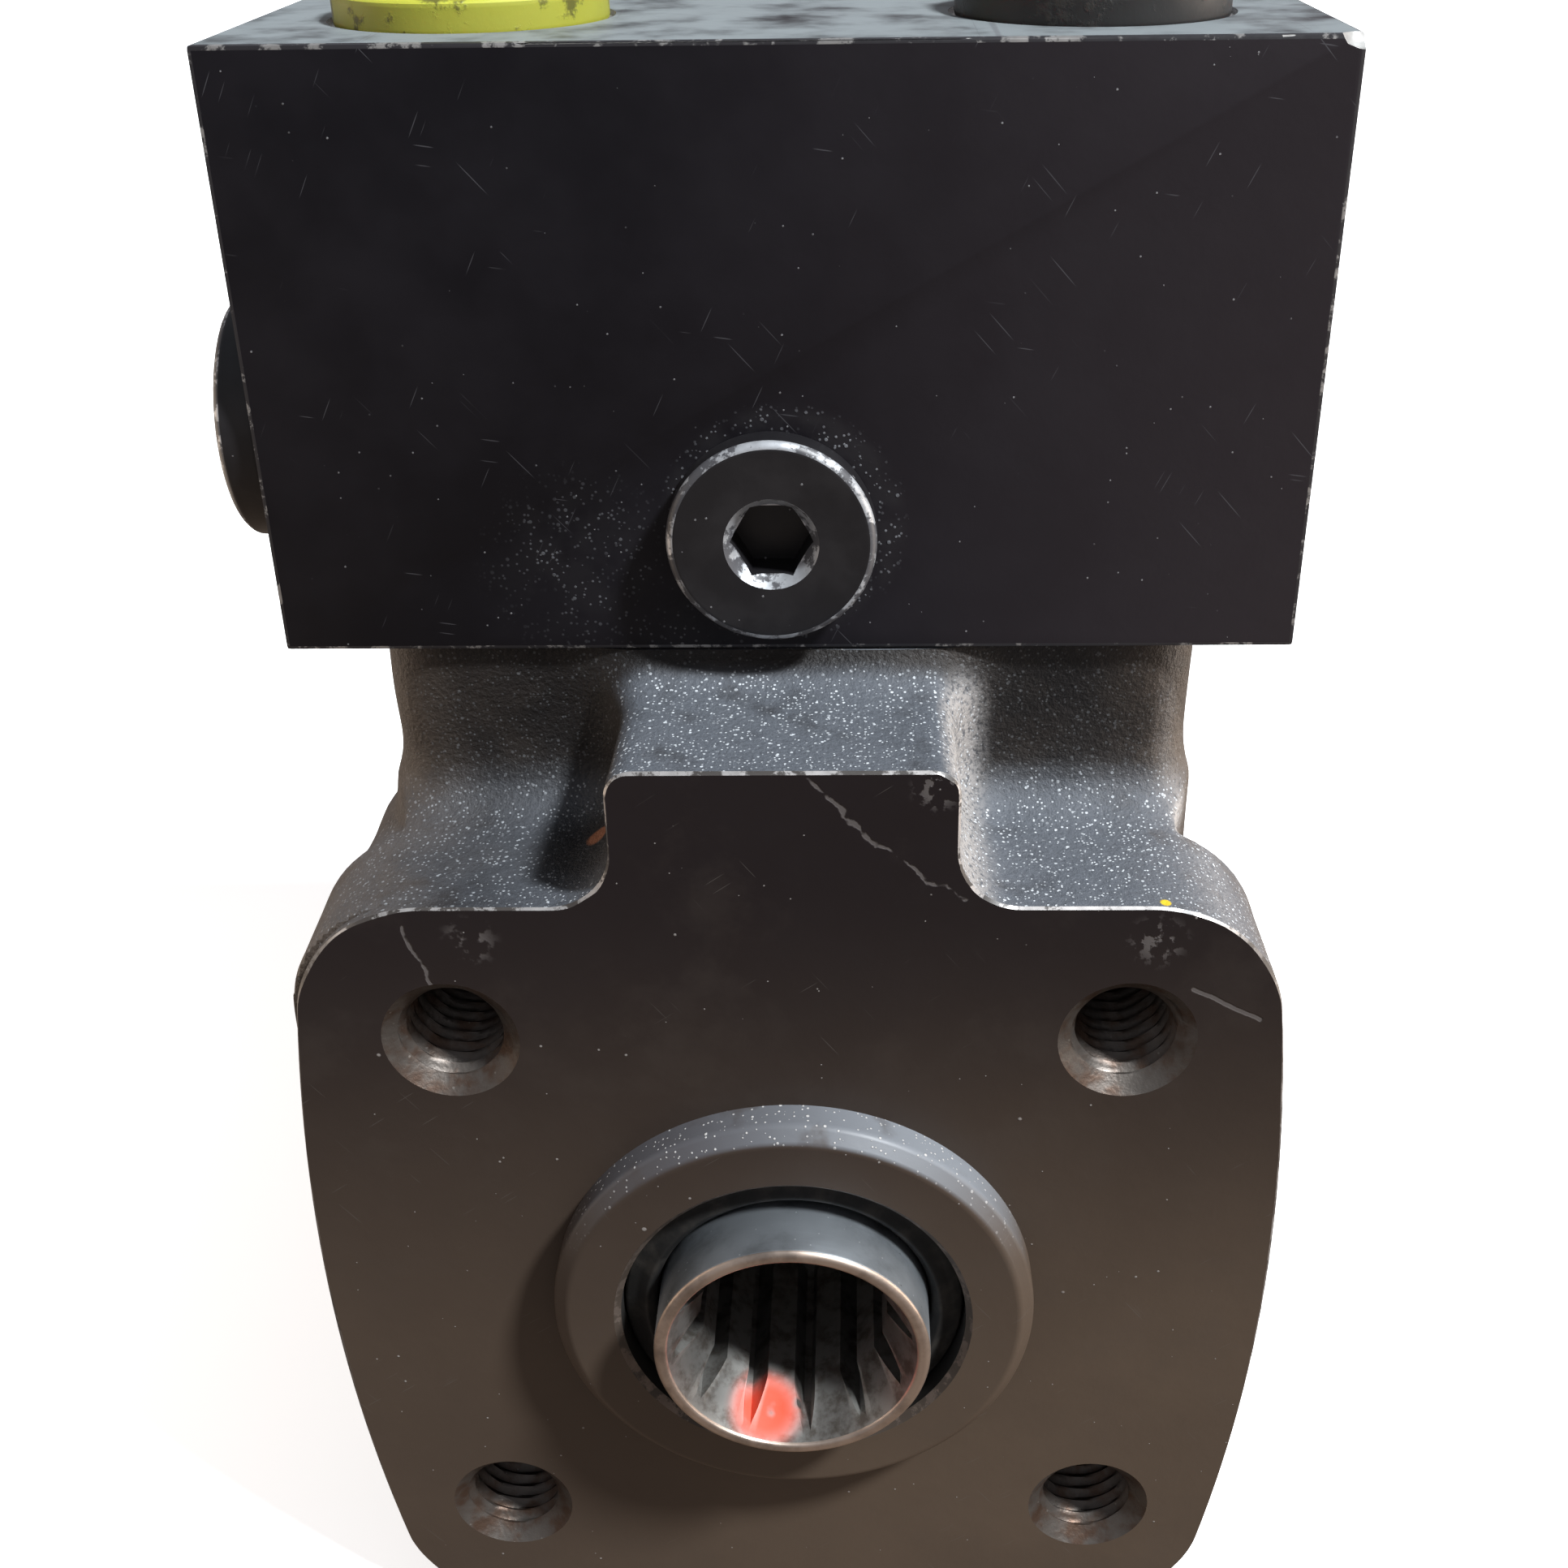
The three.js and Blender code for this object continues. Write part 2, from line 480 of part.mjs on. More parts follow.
function inletCheck() {
  const seat = ring(PORT.drillR - 0.4, CHECK.seatHoleR, CHECK.seatZ0, CHECK.seatZ1, 16).rotateX(-Math.PI / 2);
  const ball = new THREE.SphereGeometry(CHECK.ballR, 14, 9);
  const notches = [0, 1, 2].map((i) =>
    box(3.4, 8, -2, 3, -1.8, 1.8).rotateY(angleOf(i, 3)));
  const stop = cut(ring(PORT.drillR - 0.4, 0, 0, CHECK.stopH, 16), notches);
  const valve = new THREE.Group();
  const seatNode = node("inlet_check_seat", seat.rotateX(Math.PI), steel());
  const ballNode = node("inlet_check_ball", ball, steel());
  ballNode.position.z = CHECK.ballZ;
  const stopNode = node("inlet_ball_stop", stop, steel());
  stopNode.rotation.x = Math.PI / 2;
  stopNode.position.z = PORT.drillZ + 0.15;
  valve.add(seatNode, ballNode, stopNode);
  valve.position.set(-PORT.x, PORT.y[0], 0);
  return valve;
}

// ---------------------------------------------------------------- shaft seals and thrust bearing
function frontSeals() {
  const lip = turned([[12.7, -1.2], [13.6, -2.6], [15.7, -1.4], [15.7, 2.5], [13.2, 2.5],
    [12.7, -1.2]], 24);
  const shaftSeal = ring(16, 12.75, SEAL_GROOVE.y0 + 0.3, SEAL_GROOVE.y1 - 0.3, 24);
  return [node("dust_seal", lip, rubber()), node("shaft_seal", shaftSeal, rubber())];
}

function needleCage(y0, y1) {
  const windows = Array.from({ length: 8 }, (_, i) =>
    box(14, 17.7, y0 - 1, y1 + 1, -0.9, 0.9).rotateY(angleOf(i, 8)));
  return cut(ring(18.6, 13.2, y0, y1, 16), windows);
}

function thrustBearing() {
  return [
    node("thrust_race_front", ring(18.6, 13.1, 20.3, 21.3, 16), steel()),
    node("thrust_needle_cage", needleCage(21.6, 23.5), steel()),
    node("thrust_race_rear", ring(18.6, 13.1, 23.8, 25.1, 16), steel()),
  ];
}

// ---------------------------------------------------------------- spool and sleeve
function spool() {
  const { journalR, frontY, r, shoulderY, rearY, boreR } = SPOOL;
  const { teeth, majorR, minorR, y0, y1 } = INPUT_SPLINE;
  const blank = turned([[0, frontY + 1], [11.3, frontY + 0.5], [11.6, frontY], [journalR - 0.5, frontY],
    [journalR, frontY + 0.5], [journalR, shoulderY], [r, shoulderY], [r, rearY], [0, rearY]], 32);
  const mouth = turned([[0, frontY - 1], [11.3, frontY - 1], [11.2, y0 + 0.4], [minorR - 0.05, y0 + 3.2],
    [minorR - 0.05, y1 + 2], [0, y1 + 5]], 24);
  const spline = plate(toothedShape(teeth, minorR - 0.1, majorR, 0.5, 0.36), y0, y1);
  const bore = turned([[0, 36], [boreR - 3, 36], [boreR, 39], [boreR, rearY + 1], [0, rearY + 1]], 20);
  const { y, width, height } = SPRING_SLOT;
  const slot = box(-r - 1, r + 1, y - width / 2, y + width / 2, -height / 2, height / 2);
  const pinHole = bar([-r - 1, CROSS_PIN.y, 0], [r + 1, CROSS_PIN.y, 0], CROSS_PIN.lostMotionR, 16);
  const slots = Array.from({ length: 6 }, (_, i) =>
    box(r - 1.3, r + 2, VALVE_STATIONS[0] - 2, VALVE_STATIONS[1] + 2, -1.6, 1.6)
      .rotateY(angleOf(i, 6, Math.PI / 6)));
  return node("spool", cut(blank, [mouth, spline, bore, slot, pinHole, ...slots]), darkSteel());
}

function sleeve() {
  const { r, innerR, y0, y1 } = SLEEVE;
  const neckR = SPRING_RING.innerR - 0.15;
  const blank = turned([[innerR, y0], [neckR, y0], [neckR, SPRING_RING.y1 + 0.3],
    [r, SPRING_RING.y1 + 0.3], [r, y1], [innerR, y1], [innerR, y0]], 32);
  const { y, width } = SPRING_SLOT;
  const slot = box(-r - 1, r + 1, y - width / 2, y + width / 2, -2.4, 2.4);
  const pinHole = bar([-r - 1, CROSS_PIN.y, 0], [r + 1, CROSS_PIN.y, 0], CROSS_PIN.r + 0.15, 16);
  const ports = VALVE_STATIONS.flatMap((station) =>
    Array.from({ length: 6 }, (_, i) => {
      const a = angleOf(i, 6);
      return bar([0, station, 0], [30 * Math.cos(a), station, 30 * Math.sin(a)], 2, 6);
    }));
  return node("sleeve", cut(blank, [slot, pinHole, ...ports]), steel());
}

// A leaf of thin strip across the slot: flat, or bowed away from the middle of the pack.
function leaf(z, bow) {
  const half = 17.3;
  const thick = 0.4;
  const s = new THREE.Shape();
  s.moveTo(-half, z);
  s.quadraticCurveTo(0, z + bow, half, z);
  s.lineTo(half, z + thick);
  s.quadraticCurveTo(0, z + thick + bow, -half, z + thick);
  s.closePath();
  return plate(s, SPRING_SLOT.y - 2.6, SPRING_SLOT.y + 2.6, 6);
}

function centringSprings() {
  const leaves = { upper_bowed: [0.9, 2.6], upper_flat: [0.15, 0], lower_flat: [-0.55, 0],
    lower_bowed: [-1.3, -2.6] };
  return Object.entries(leaves).map(([kind, [z, bow]]) =>
    node(`centring_leaf_${kind}`, leaf(z, bow), steel()));
}

function springRing() {
  const { r, innerR, y0, y1 } = SPRING_RING;
  return node("spring_retaining_ring", ring(r, innerR, y0, y1, 32), steel());
}

function crossPin() {
  const { y, r, halfLength } = CROSS_PIN;
  const outline = [[0, -halfLength], [r - 0.5, -halfLength], [r, -halfLength + 0.5],
    [r, halfLength - 0.5], [r - 0.5, halfLength], [0, halfLength]];
  const pin = node("cross_pin", turned(outline, 16), steel());
  pin.rotation.z = Math.PI / 2;
  pin.position.y = y;
  return pin;
}

// ---------------------------------------------------------------- gerotor set
const centreOffset = GEROTOR.eccentricity;
const pinAngle = (i) => angleOf(i, GEROTOR.pins, Math.PI / 2);
const feedAngles = () => Array.from({ length: GEROTOR.pins }, (_, i) => pinAngle(i + 0.5));
const endScrewPlaces = () => Array.from({ length: GEROTOR.pins }, (_, i) => {
  const a = pinAngle(i + 0.5);
  return [END_SCREW.circleR * Math.cos(a), END_SCREW.circleR * Math.sin(a)];
});

// Star outline: the curve that stays in touch with every pin of the ring, less the running clearance.
// It has one lobe fewer than there are pins, and its centre stands off the ring's towards pin 0.
class StarCurve extends THREE.Curve {
  getPoint(share) {
    const { pins, pinCircleR, pinR, eccentricity, clearance } = GEROTOR;
    const rollR = pinR + clearance;
    const t = 2 * Math.PI * share;
    const spread = pinCircleR / (eccentricity * pins) - Math.cos((1 - pins) * t);
    const lean = Math.atan2(Math.sin((1 - pins) * t), spread);
    const up = pinCircleR * Math.cos(t) - rollR * Math.cos(t + lean) - eccentricity * Math.cos(pins * t);
    const side = pinCircleR * Math.sin(t) - rollR * Math.sin(t + lean) - eccentricity * Math.sin(pins * t);
    return new THREE.Vector3(side, up, 0);
  }
}

function starShape(points) {
  const curve = new StarCurve();
  curve.arcLengthDivisions = 1200;
  const outline = curve.getSpacedPoints(points).slice(0, points);
  return new THREE.Shape(outline.map(({ x, y }) => new THREE.Vector2(x, y)));
}

function gerotorRing() {
  const { pins, pinCircleR, pinR, eccentricity } = GEROTOR;
  const rootR = pinCircleR - pinR + 2 * eccentricity + 0.4;
  const blank = ring(RING.r, rootR, RING.y0, RING.y1, 40);
  const lobes = Array.from({ length: pins }, (_, i) => {
    const a = pinAngle(i);
    return ring(pinR, 0, RING.y0, RING.y1, 22)
      .translate(pinCircleR * Math.cos(a), 0, pinCircleR * Math.sin(a));
  });
  return node("gerotor_ring", cut(union([blank, ...lobes]), screwHoleTools(RING)), darkSteel());
}

const screwHoleTools = ({ y0, y1 }) =>
  endScrewPlaces().map(([x, z]) => bar([x, y0 - 1, z], [x, y1 + 1, z], END_SCREW.holeR, 8));

function gerotorStar() {
  const { majorR, minorR } = STAR_BORE;
  const y0 = RING.y0 + GAP;
  const y1 = RING.y1 - GAP;
  const blank = plate(starShape(96), y0, y1);
  const bore = plate(toothedShape(DRIVE_SPLINE.teeth, minorR, majorR, 0.42, 0.44), y0 - 1, y1 + 1);
  return node("gerotor_star", cut(blank, [bore]), darkSteel());
}

// A round disc that keeps the drive off the end cap; it rides at the star's centre.
const driveSpacer = () => node("drive_spacer", ring(8.4, 0, 122.9, RING.y1 - GAP, 28), steel());

// Drive shaft about its own pivot, the cross pin's centre: slotted ball end, neck, crowned spline.
function driveShaft() {
  const pivot = CROSS_PIN.y;
  const { teeth, majorR, minorR, y0, y1 } = DRIVE_SPLINE;
  const middle = (y0 + y1) / 2 - pivot;
  const half = (y1 - y0) / 2;
  const crown = turned([[0, -5.6], [7.6, -5.6], [9.4, -2.8], [9.4, 3.4], [6.6, 8], [6.3, 14],
    [6.3, middle - half - 4], [majorR - 0.7, middle - half], [majorR, middle - 2],
    [majorR, middle + 2], [majorR - 0.7, middle + half], [0, middle + half]], 24);
  const toothed = plate(toothedShape(teeth, minorR - 0.4, majorR + 0.2, 0.62, 0.24),
    middle - half - 5, middle + half + 1);
  const front = ring(12, 0, -6, middle - half - 4.5, 24);
  const fork = box(-12, 12, -8, 4.6, -CROSS_PIN.r - 0.25, CROSS_PIN.r + 0.25);
  const shaft = common(crown, union([toothed, front]));
  return node("drive_shaft", cut(shaft, [fork]), steel());
}

function spacerPlate() {
  const feeds = feedAngles().map((a) => {
    const [x, z] = [FEED.rearR * Math.cos(a), FEED.rearR * Math.sin(a)];
    return bar([x, SPACER.y0 - 1, z], [x, SPACER.y1 + 1, z], FEED.r, 6);
  });
  const blank = ring(RING.r, SPACER.holeR, SPACER.y0, SPACER.y1, 40);
  return node("spacer_plate", cut(blank, [...screwHoleTools(SPACER), ...feeds]), steel());
}

function endCap() {
  const { y0, y1, r, reliefR } = CAP_PLATE;
  const blank = turned([[0, y0], [r, y0], [r, y1 - 2], [r - 2, y1], [reliefR, y1],
    [reliefR - 2, y1 - 2.5], [0, y1 - 2.5]], 40);
  return node("end_cap", cut(blank, screwHoleTools(CAP_PLATE)), castPaint());
}

function endScrews() {
  const { r, headH, washerR, tipY } = END_SCREW;
  const seatY = CAP_PLATE.y1 + 0.15;
  const shank = turned([[0, tipY], [r, tipY], [r, seatY], [washerR, seatY], [washerR, seatY + 1.2],
    [0, seatY + 1.2]], 12);
  const screw = union([shank, hexagon(13, seatY + 1, seatY + headH)]);
  return endScrewPlaces().map(([x, z], i) => {
    const placed = node(`end_cap_screw_${i + 1}`, screw, blackOxide());
    placed.position.set(x, 0, z);
    return placed;
  });
}

// ---------------------------------------------------------------- assembly
const orbiting = new THREE.Group();
orbiting.add(gerotorStar(), driveSpacer());
orbiting.position.z = centreOffset;

const tilted = new THREE.Group();
tilted.add(driveShaft());
tilted.position.y = CROSS_PIN.y;
tilted.rotation.x = Math.atan2(centreOffset, (DRIVE_SPLINE.y0 + DRIVE_SPLINE.y1) / 2 - CROSS_PIN.y);

const unit = new THREE.Group();
unit.add(node("housing", housing(), castPaint()), node("port_block", portBlock(), blockPaint()));
unit.add(...blockScrews(), ...blockSeals(), ...plugs(), ...portCaps(), reliefValve(), inletCheck());
unit.add(...frontSeals(), ...thrustBearing(), spool(), sleeve());
unit.add(...centringSprings(), springRing(), crossPin(), tilted);
unit.add(spacerPlate(), gerotorRing(), orbiting, endCap(), ...endScrews());

// The row's origin is the middle of the base: the foot stands on Z = 0.
const leftX = -BLOCK.halfWidth - 0.1 - SIDE_PLUG.proud;
const rearY = CAP_PLATE.y1 + 0.15 + END_SCREW.headH;
unit.position.set(-(leftX + FLANGE.halfWidth) / 2, -(SPOOL.frontY + rearY) / 2, -BASE_Z);

const steeringUnit = new THREE.Group();
steeringUnit.add(unit);

export default steeringUnit;
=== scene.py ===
"""Looks for a hydrostatic steering unit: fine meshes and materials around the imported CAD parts.

Builders work in millimetres in the unit's own frame: the shaft lies along Y through the origin,
Y = 0 is the mounting face, +Y runs into the unit and +Z is up. piece() puts a finished mesh into
the row frame, in metres.
"""
import math
import random

import bmesh
import bpy
import numpy as np
import openvdb
from mathutils import Euler, Matrix, Vector


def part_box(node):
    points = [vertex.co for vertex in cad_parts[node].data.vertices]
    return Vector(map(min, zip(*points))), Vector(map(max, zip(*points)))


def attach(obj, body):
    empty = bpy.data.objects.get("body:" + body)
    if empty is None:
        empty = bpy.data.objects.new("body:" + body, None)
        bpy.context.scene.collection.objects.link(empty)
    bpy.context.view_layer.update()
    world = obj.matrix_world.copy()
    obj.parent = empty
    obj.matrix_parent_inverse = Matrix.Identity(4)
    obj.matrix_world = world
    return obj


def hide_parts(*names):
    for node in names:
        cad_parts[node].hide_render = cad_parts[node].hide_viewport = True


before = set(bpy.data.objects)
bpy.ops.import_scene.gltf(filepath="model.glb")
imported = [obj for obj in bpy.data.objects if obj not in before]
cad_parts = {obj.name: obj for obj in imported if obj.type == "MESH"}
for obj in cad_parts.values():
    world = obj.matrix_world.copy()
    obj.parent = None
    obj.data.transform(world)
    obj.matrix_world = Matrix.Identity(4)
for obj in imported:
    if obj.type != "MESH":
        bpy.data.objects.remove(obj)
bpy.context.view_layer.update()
scene = bpy.context.scene

# ---------------------------------------------------------------- the unit's frame and its sizes
MM = 0.001
PILOT_HEIGHT = 4.0
ring_low, ring_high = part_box("gerotor_ring")
ORIGIN = Vector((
    (ring_low.x + ring_high.x) / 2,
    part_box("housing")[0].y + PILOT_HEIGHT * MM,
    (ring_low.z + ring_high.z) / 2,
))


def limits(node):
    """Lowest and highest corner of a CAD node, in the unit's frame."""
    return [(corner - ORIGIN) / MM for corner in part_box(node)]


def middle(node):
    low, high = limits(node)
    return (low + high) / 2


HOUSING_LOW, HOUSING_HIGH = limits("housing")
BLOCK_LOW, BLOCK_HIGH = limits("port_block")
FLANGE_THICK, BARREL_R, BARREL_Z, CORNER_R, EARS_Z = 14.5, 210, 4, 12, 42.7
TAB_HALF, TAB_TOP, TAB_CORNER, TAB_FILLET = 14.3, 55.5, 2.3, 5.5
PILOT_R, PILOT_BORE_R, PILOT_BEVEL = 22.2, 15.9, 1.3
NECK_HALF, NECK_FRONT, NECK_CORNER, BARREL_BODY_R = 36, 18, 5, 36
CAST_START, CAST_FILLET = -8, 7
BUMP_AT, BUMP_R = (-33.2, 31.8), 8.2
MOUNT_AT = 82.55 / math.sqrt(8)
MOUNT_HOLES = [(x * MOUNT_AT, z * MOUNT_AT) for x in (-1, 1) for z in (-1, 1)]
THREAD_MAJOR, THREAD_MINOR, THREAD_PITCH, MOUTH_R, HOLE_DEPTH = 5.0, 4.3, 1.5, 6.0, 17
JOURNAL_BORE, VALVE_BORE = 12.85, 19.1
VALVE_STATIONS = (52, 70)
PINS, PIN_CIRCLE, PIN_R, ECCENTRIC, CLEARANCE = 7, 28, 7.5, 3, 0.15
SCREW_CIRCLE, SCREW_HOLE = 36.5, 4.5
SPLINE_TEETH, SPLINE_TIP_R, SPLINE_ROOT_R, SPLINE_TURN = 12, 8.6, 10.9, 9
SHAFT_R, SPOOL_R = 12.5, 14.6
CAP_CROWN, CAP_FLANGE_R = 6.5, 11.2
PORT_CAPS = ("pressure_port_cap", "tank_port_cap", "left_port_cap", "right_port_cap")


# ---------------------------------------------------------------- mesh helpers
def placed(name, data):
    """A new object in the scene."""
    obj = bpy.data.objects.new(name, data)
    scene.collection.objects.link(obj)
    return obj


def settled_mesh(work, name):
    """The mesh of a bmesh, which is then freed."""
    mesh = bpy.data.meshes.new(name)
    work.to_mesh(mesh)
    work.free()
    return mesh


def make(vertices, faces, *materials):
    """A mesh with its faces turned outwards."""
    mesh = bpy.data.meshes.new("part")
    mesh.from_pydata([tuple(v) for v in vertices], [], [tuple(f) for f in faces])
    for material in materials:
        mesh.materials.append(material)
    return outward(mesh)


def outward(mesh):
    mesh.calc_loop_triangles()
    corners = np.zeros(len(mesh.loop_triangles) * 3, np.int32)
    mesh.loop_triangles.foreach_get("vertices", corners)
    points = np.zeros(len(mesh.vertices) * 3, np.float32)
    mesh.vertices.foreach_get("co", points)
    a, b, c = points.reshape(-1, 3)[corners.reshape(-1, 3)].transpose(1, 0, 2)
    if np.einsum("ij,ij->i", a, np.cross(b, c)).sum() < 0:
        mesh.flip_normals()
    return mesh


def moved(mesh, offset=(0, 0, 0), turn=0, axis="X"):
    """The mesh turned by degrees about an axis through the origin, then shifted."""
    mesh.transform(Matrix.Translation(offset) @ Matrix.Rotation(math.radians(turn), 4, axis))
    return mesh


def joined(meshes):
    """Several meshes as one, with the first one's materials."""
    whole = bmesh.new()
    for mesh in meshes:
        whole.from_mesh(mesh)
    result = meshes[0].copy()
    whole.to_mesh(result)
    whole.free()
    return result


def combine(body, *tools, operation="DIFFERENCE"):
    """The body after a boolean with each tool; new faces keep their tool's material."""
    target, helpers = placed("target", body), [placed("tool", tool) for tool in tools]
    for helper in helpers:
        step = target.modifiers.new("boolean", "BOOLEAN")
        step.operation, step.solver, step.material_mode = operation, "MANIFOLD", "TRANSFER"
        step.object = helper
    graph = bpy.context.evaluated_depsgraph_get()
    result = bpy.data.meshes.new_from_object(target.evaluated_get(graph), depsgraph=graph)
    for obj in [target, *helpers]:
        bpy.data.objects.remove(obj)
    return result


def piece(name, mesh, body, slot, *replaced, sharp=30):
    """Puts a mesh built in the unit's frame into the row frame as a piece of the object."""
    mesh.transform(Matrix.Translation(ORIGIN) @ Matrix.Scale(MM, 4))
    mesh.shade_smooth()
    mesh.set_sharp_from_angle(angle=math.radians(sharp))
    mesh.name = name
    obj = placed(name, mesh)
    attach(obj, body)
    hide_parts(*replaced)
    return obj


# ---------------------------------------------------------------- outlines
def arc(centre, radius, start, end, step=4):
    """Points on an arc between two angles in degrees."""
    count = max(2, round(abs(end - start) / step))
    angles = np.radians(np.linspace(start, end, count + 1))
    return [(centre[0] + radius * math.cos(a), centre[1] + radius * math.sin(a)) for a in angles]


def eased(points, radius=0.3, steps=3):
    """An outline with its corners rounded, and a support point beside each rounding."""
    loop = points[0] == points[-1]
    corners = [Vector(p) for p in (points[:-1] if loop else points)]
    result = []
    for i, corner in enumerate(corners):
        before, after = corners[i - 1] - corner, corners[(i + 1) % len(corners)] - corner
        if (not loop and i in (0, len(corners) - 1)) or before.angle(after) > math.radians(168):
            result.append(tuple(corner))
            continue
        reach = min(radius, 0.4 * before.length, 0.4 * after.length)
        start, end = corner + before.normalized() * reach, corner + after.normalized() * reach
        result.append(tuple(corner + before.normalized() * reach * 1.15))
        for share in np.linspace(0, 1, steps + 1):
            near, far = start.lerp(corner, share), corner.lerp(end, share)
            result.append(tuple(near.lerp(far, share)))
        result.append(tuple(corner + after.normalized() * reach * 1.15))
    return result + result[:1] if loop else result


def turned(points, *materials, segments=96, ease=0.0):
    """A body turned about Y from [radius, y] points, closed on the axis or on itself."""
    outline = eased(points, ease) if ease else list(points)
    closed = outline[0] == outline[-1]
    if closed:
        outline.pop()
    angles = np.linspace(0, 2 * math.pi, segments, endpoint=False)
    vertices, rings = [], []
    for radius, y in outline:
        around = angles if radius > 1e-6 else angles[:1]
        rings.append([len(vertices) + i for i in range(len(around))])
        vertices += [(radius * math.cos(a), y, radius * math.sin(a)) for a in around]
    faces = []
    for k in range(len(rings) if closed else len(rings) - 1):
        low, high = rings[k], rings[(k + 1) % len(rings)]
        for i in range(segments):
            j = (i + 1) % segments
            corners = [low[i % len(low)], low[j % len(low)], high[j % len(high)], high[i % len(high)]]
            faces.append(list(dict.fromkeys(corners)))
    return make(vertices, faces, *materials)


def disc(radius, hole, y0, y1, *materials, segments=96, ease=0.0):
    """A round plate about Y, with or without a hole."""
    if hole:
        points = [(hole, y0), (radius, y0), (radius, y1), (hole, y1), (hole, y0)]
    else:
        points = [(0, y0), (radius, y0), (radius, y1), (0, y1)]
    return turned(points, *materials, segments=segments, ease=ease)


def inset(outline, amount):
    """A closed outline, drawn anticlockwise, moved inwards."""
    points = np.array(outline, float)
    edge = np.roll(points, -1, 0) - points
    normal = np.stack([edge[:, 1], -edge[:, 0]], 1) / np.linalg.norm(edge, axis=1)[:, None]
    both = normal + np.roll(normal, 1, 0)
    both /= np.maximum((both**2).sum(1) / 2, 0.3)[:, None]
    return points - both * np.reshape(amount, (-1, 1))


def stacked(levels, *materials):
    """A body from closed outlines of equal length in X and Z, each at its own y."""
    count = len(levels[0][1])
    vertices = [(u, y, v) for y, outline in levels for u, v in outline]
    faces = [list(range(count)), list(range(len(vertices) - count, len(vertices)))[::-1]]
    for k in range(len(levels) - 1):
        for i in range(count):
            j = (i + 1) % count
            faces.append([k * count + i, (k + 1) * count + i, (k + 1) * count + j, k * count + j])
    return make(vertices, faces, *materials)


def prism(outline, y0, y1, *materials, chamfer=0.0):
    """A flat outline swept along Y, with or without chamfered end edges."""
    if not chamfer:
        return stacked([(y0, outline), (y1, outline)], *materials)
    small = inset(outline, chamfer)
    return stacked([(y0, small), (y0 + chamfer, outline), (y1 - chamfer, outline), (y1, small)], *materials)


def box(low, high, *materials):
    (x0, y0, z0), (x1, y1, z1) = low, high
    return prism([(x0, z0), (x1, z0), (x1, z1), (x0, z1)], y0, y1, *materials)


def bar(start, end, radius, *materials, segments=32):
    """A round bar between two points."""
    start, end = Vector(start), Vector(end)
    mesh = disc(radius, 0, 0, (end - start).length, *materials, segments=segments)
    turn = Vector((0, 1, 0)).rotation_difference(end - start).to_matrix().to_4x4()
    mesh.transform(Matrix.Translation(start) @ turn)
    return mesh


def toothed(teeth, root, tip, root_share, tip_share, steps=5):
    """A ring of teeth with curved flanks: tips at one radius, roots at the other."""
    points = []
    pitch = 2 * math.pi / teeth
    for i in range(teeth):
        flank = [
            (root + (tip - root) * t, root_share / 2 + (0.5 - (root_share + tip_share) / 2) * t**1.4)
            for t in np.linspace(0, 1, steps)
        ]
        back = [(r, 1 - share) for r, share in reversed(flank)]
        for r, share in flank + back:
            angle = (i + share) * pitch
            points.append((r * math.cos(angle), r * math.sin(angle)))
    return points


def hexagon(across_flats):
    return [(across_flats / math.sqrt(3) * math.cos(a), across_flats / math.sqrt(3) * math.sin(a))
            for a in np.arange(6) * math.pi / 3]


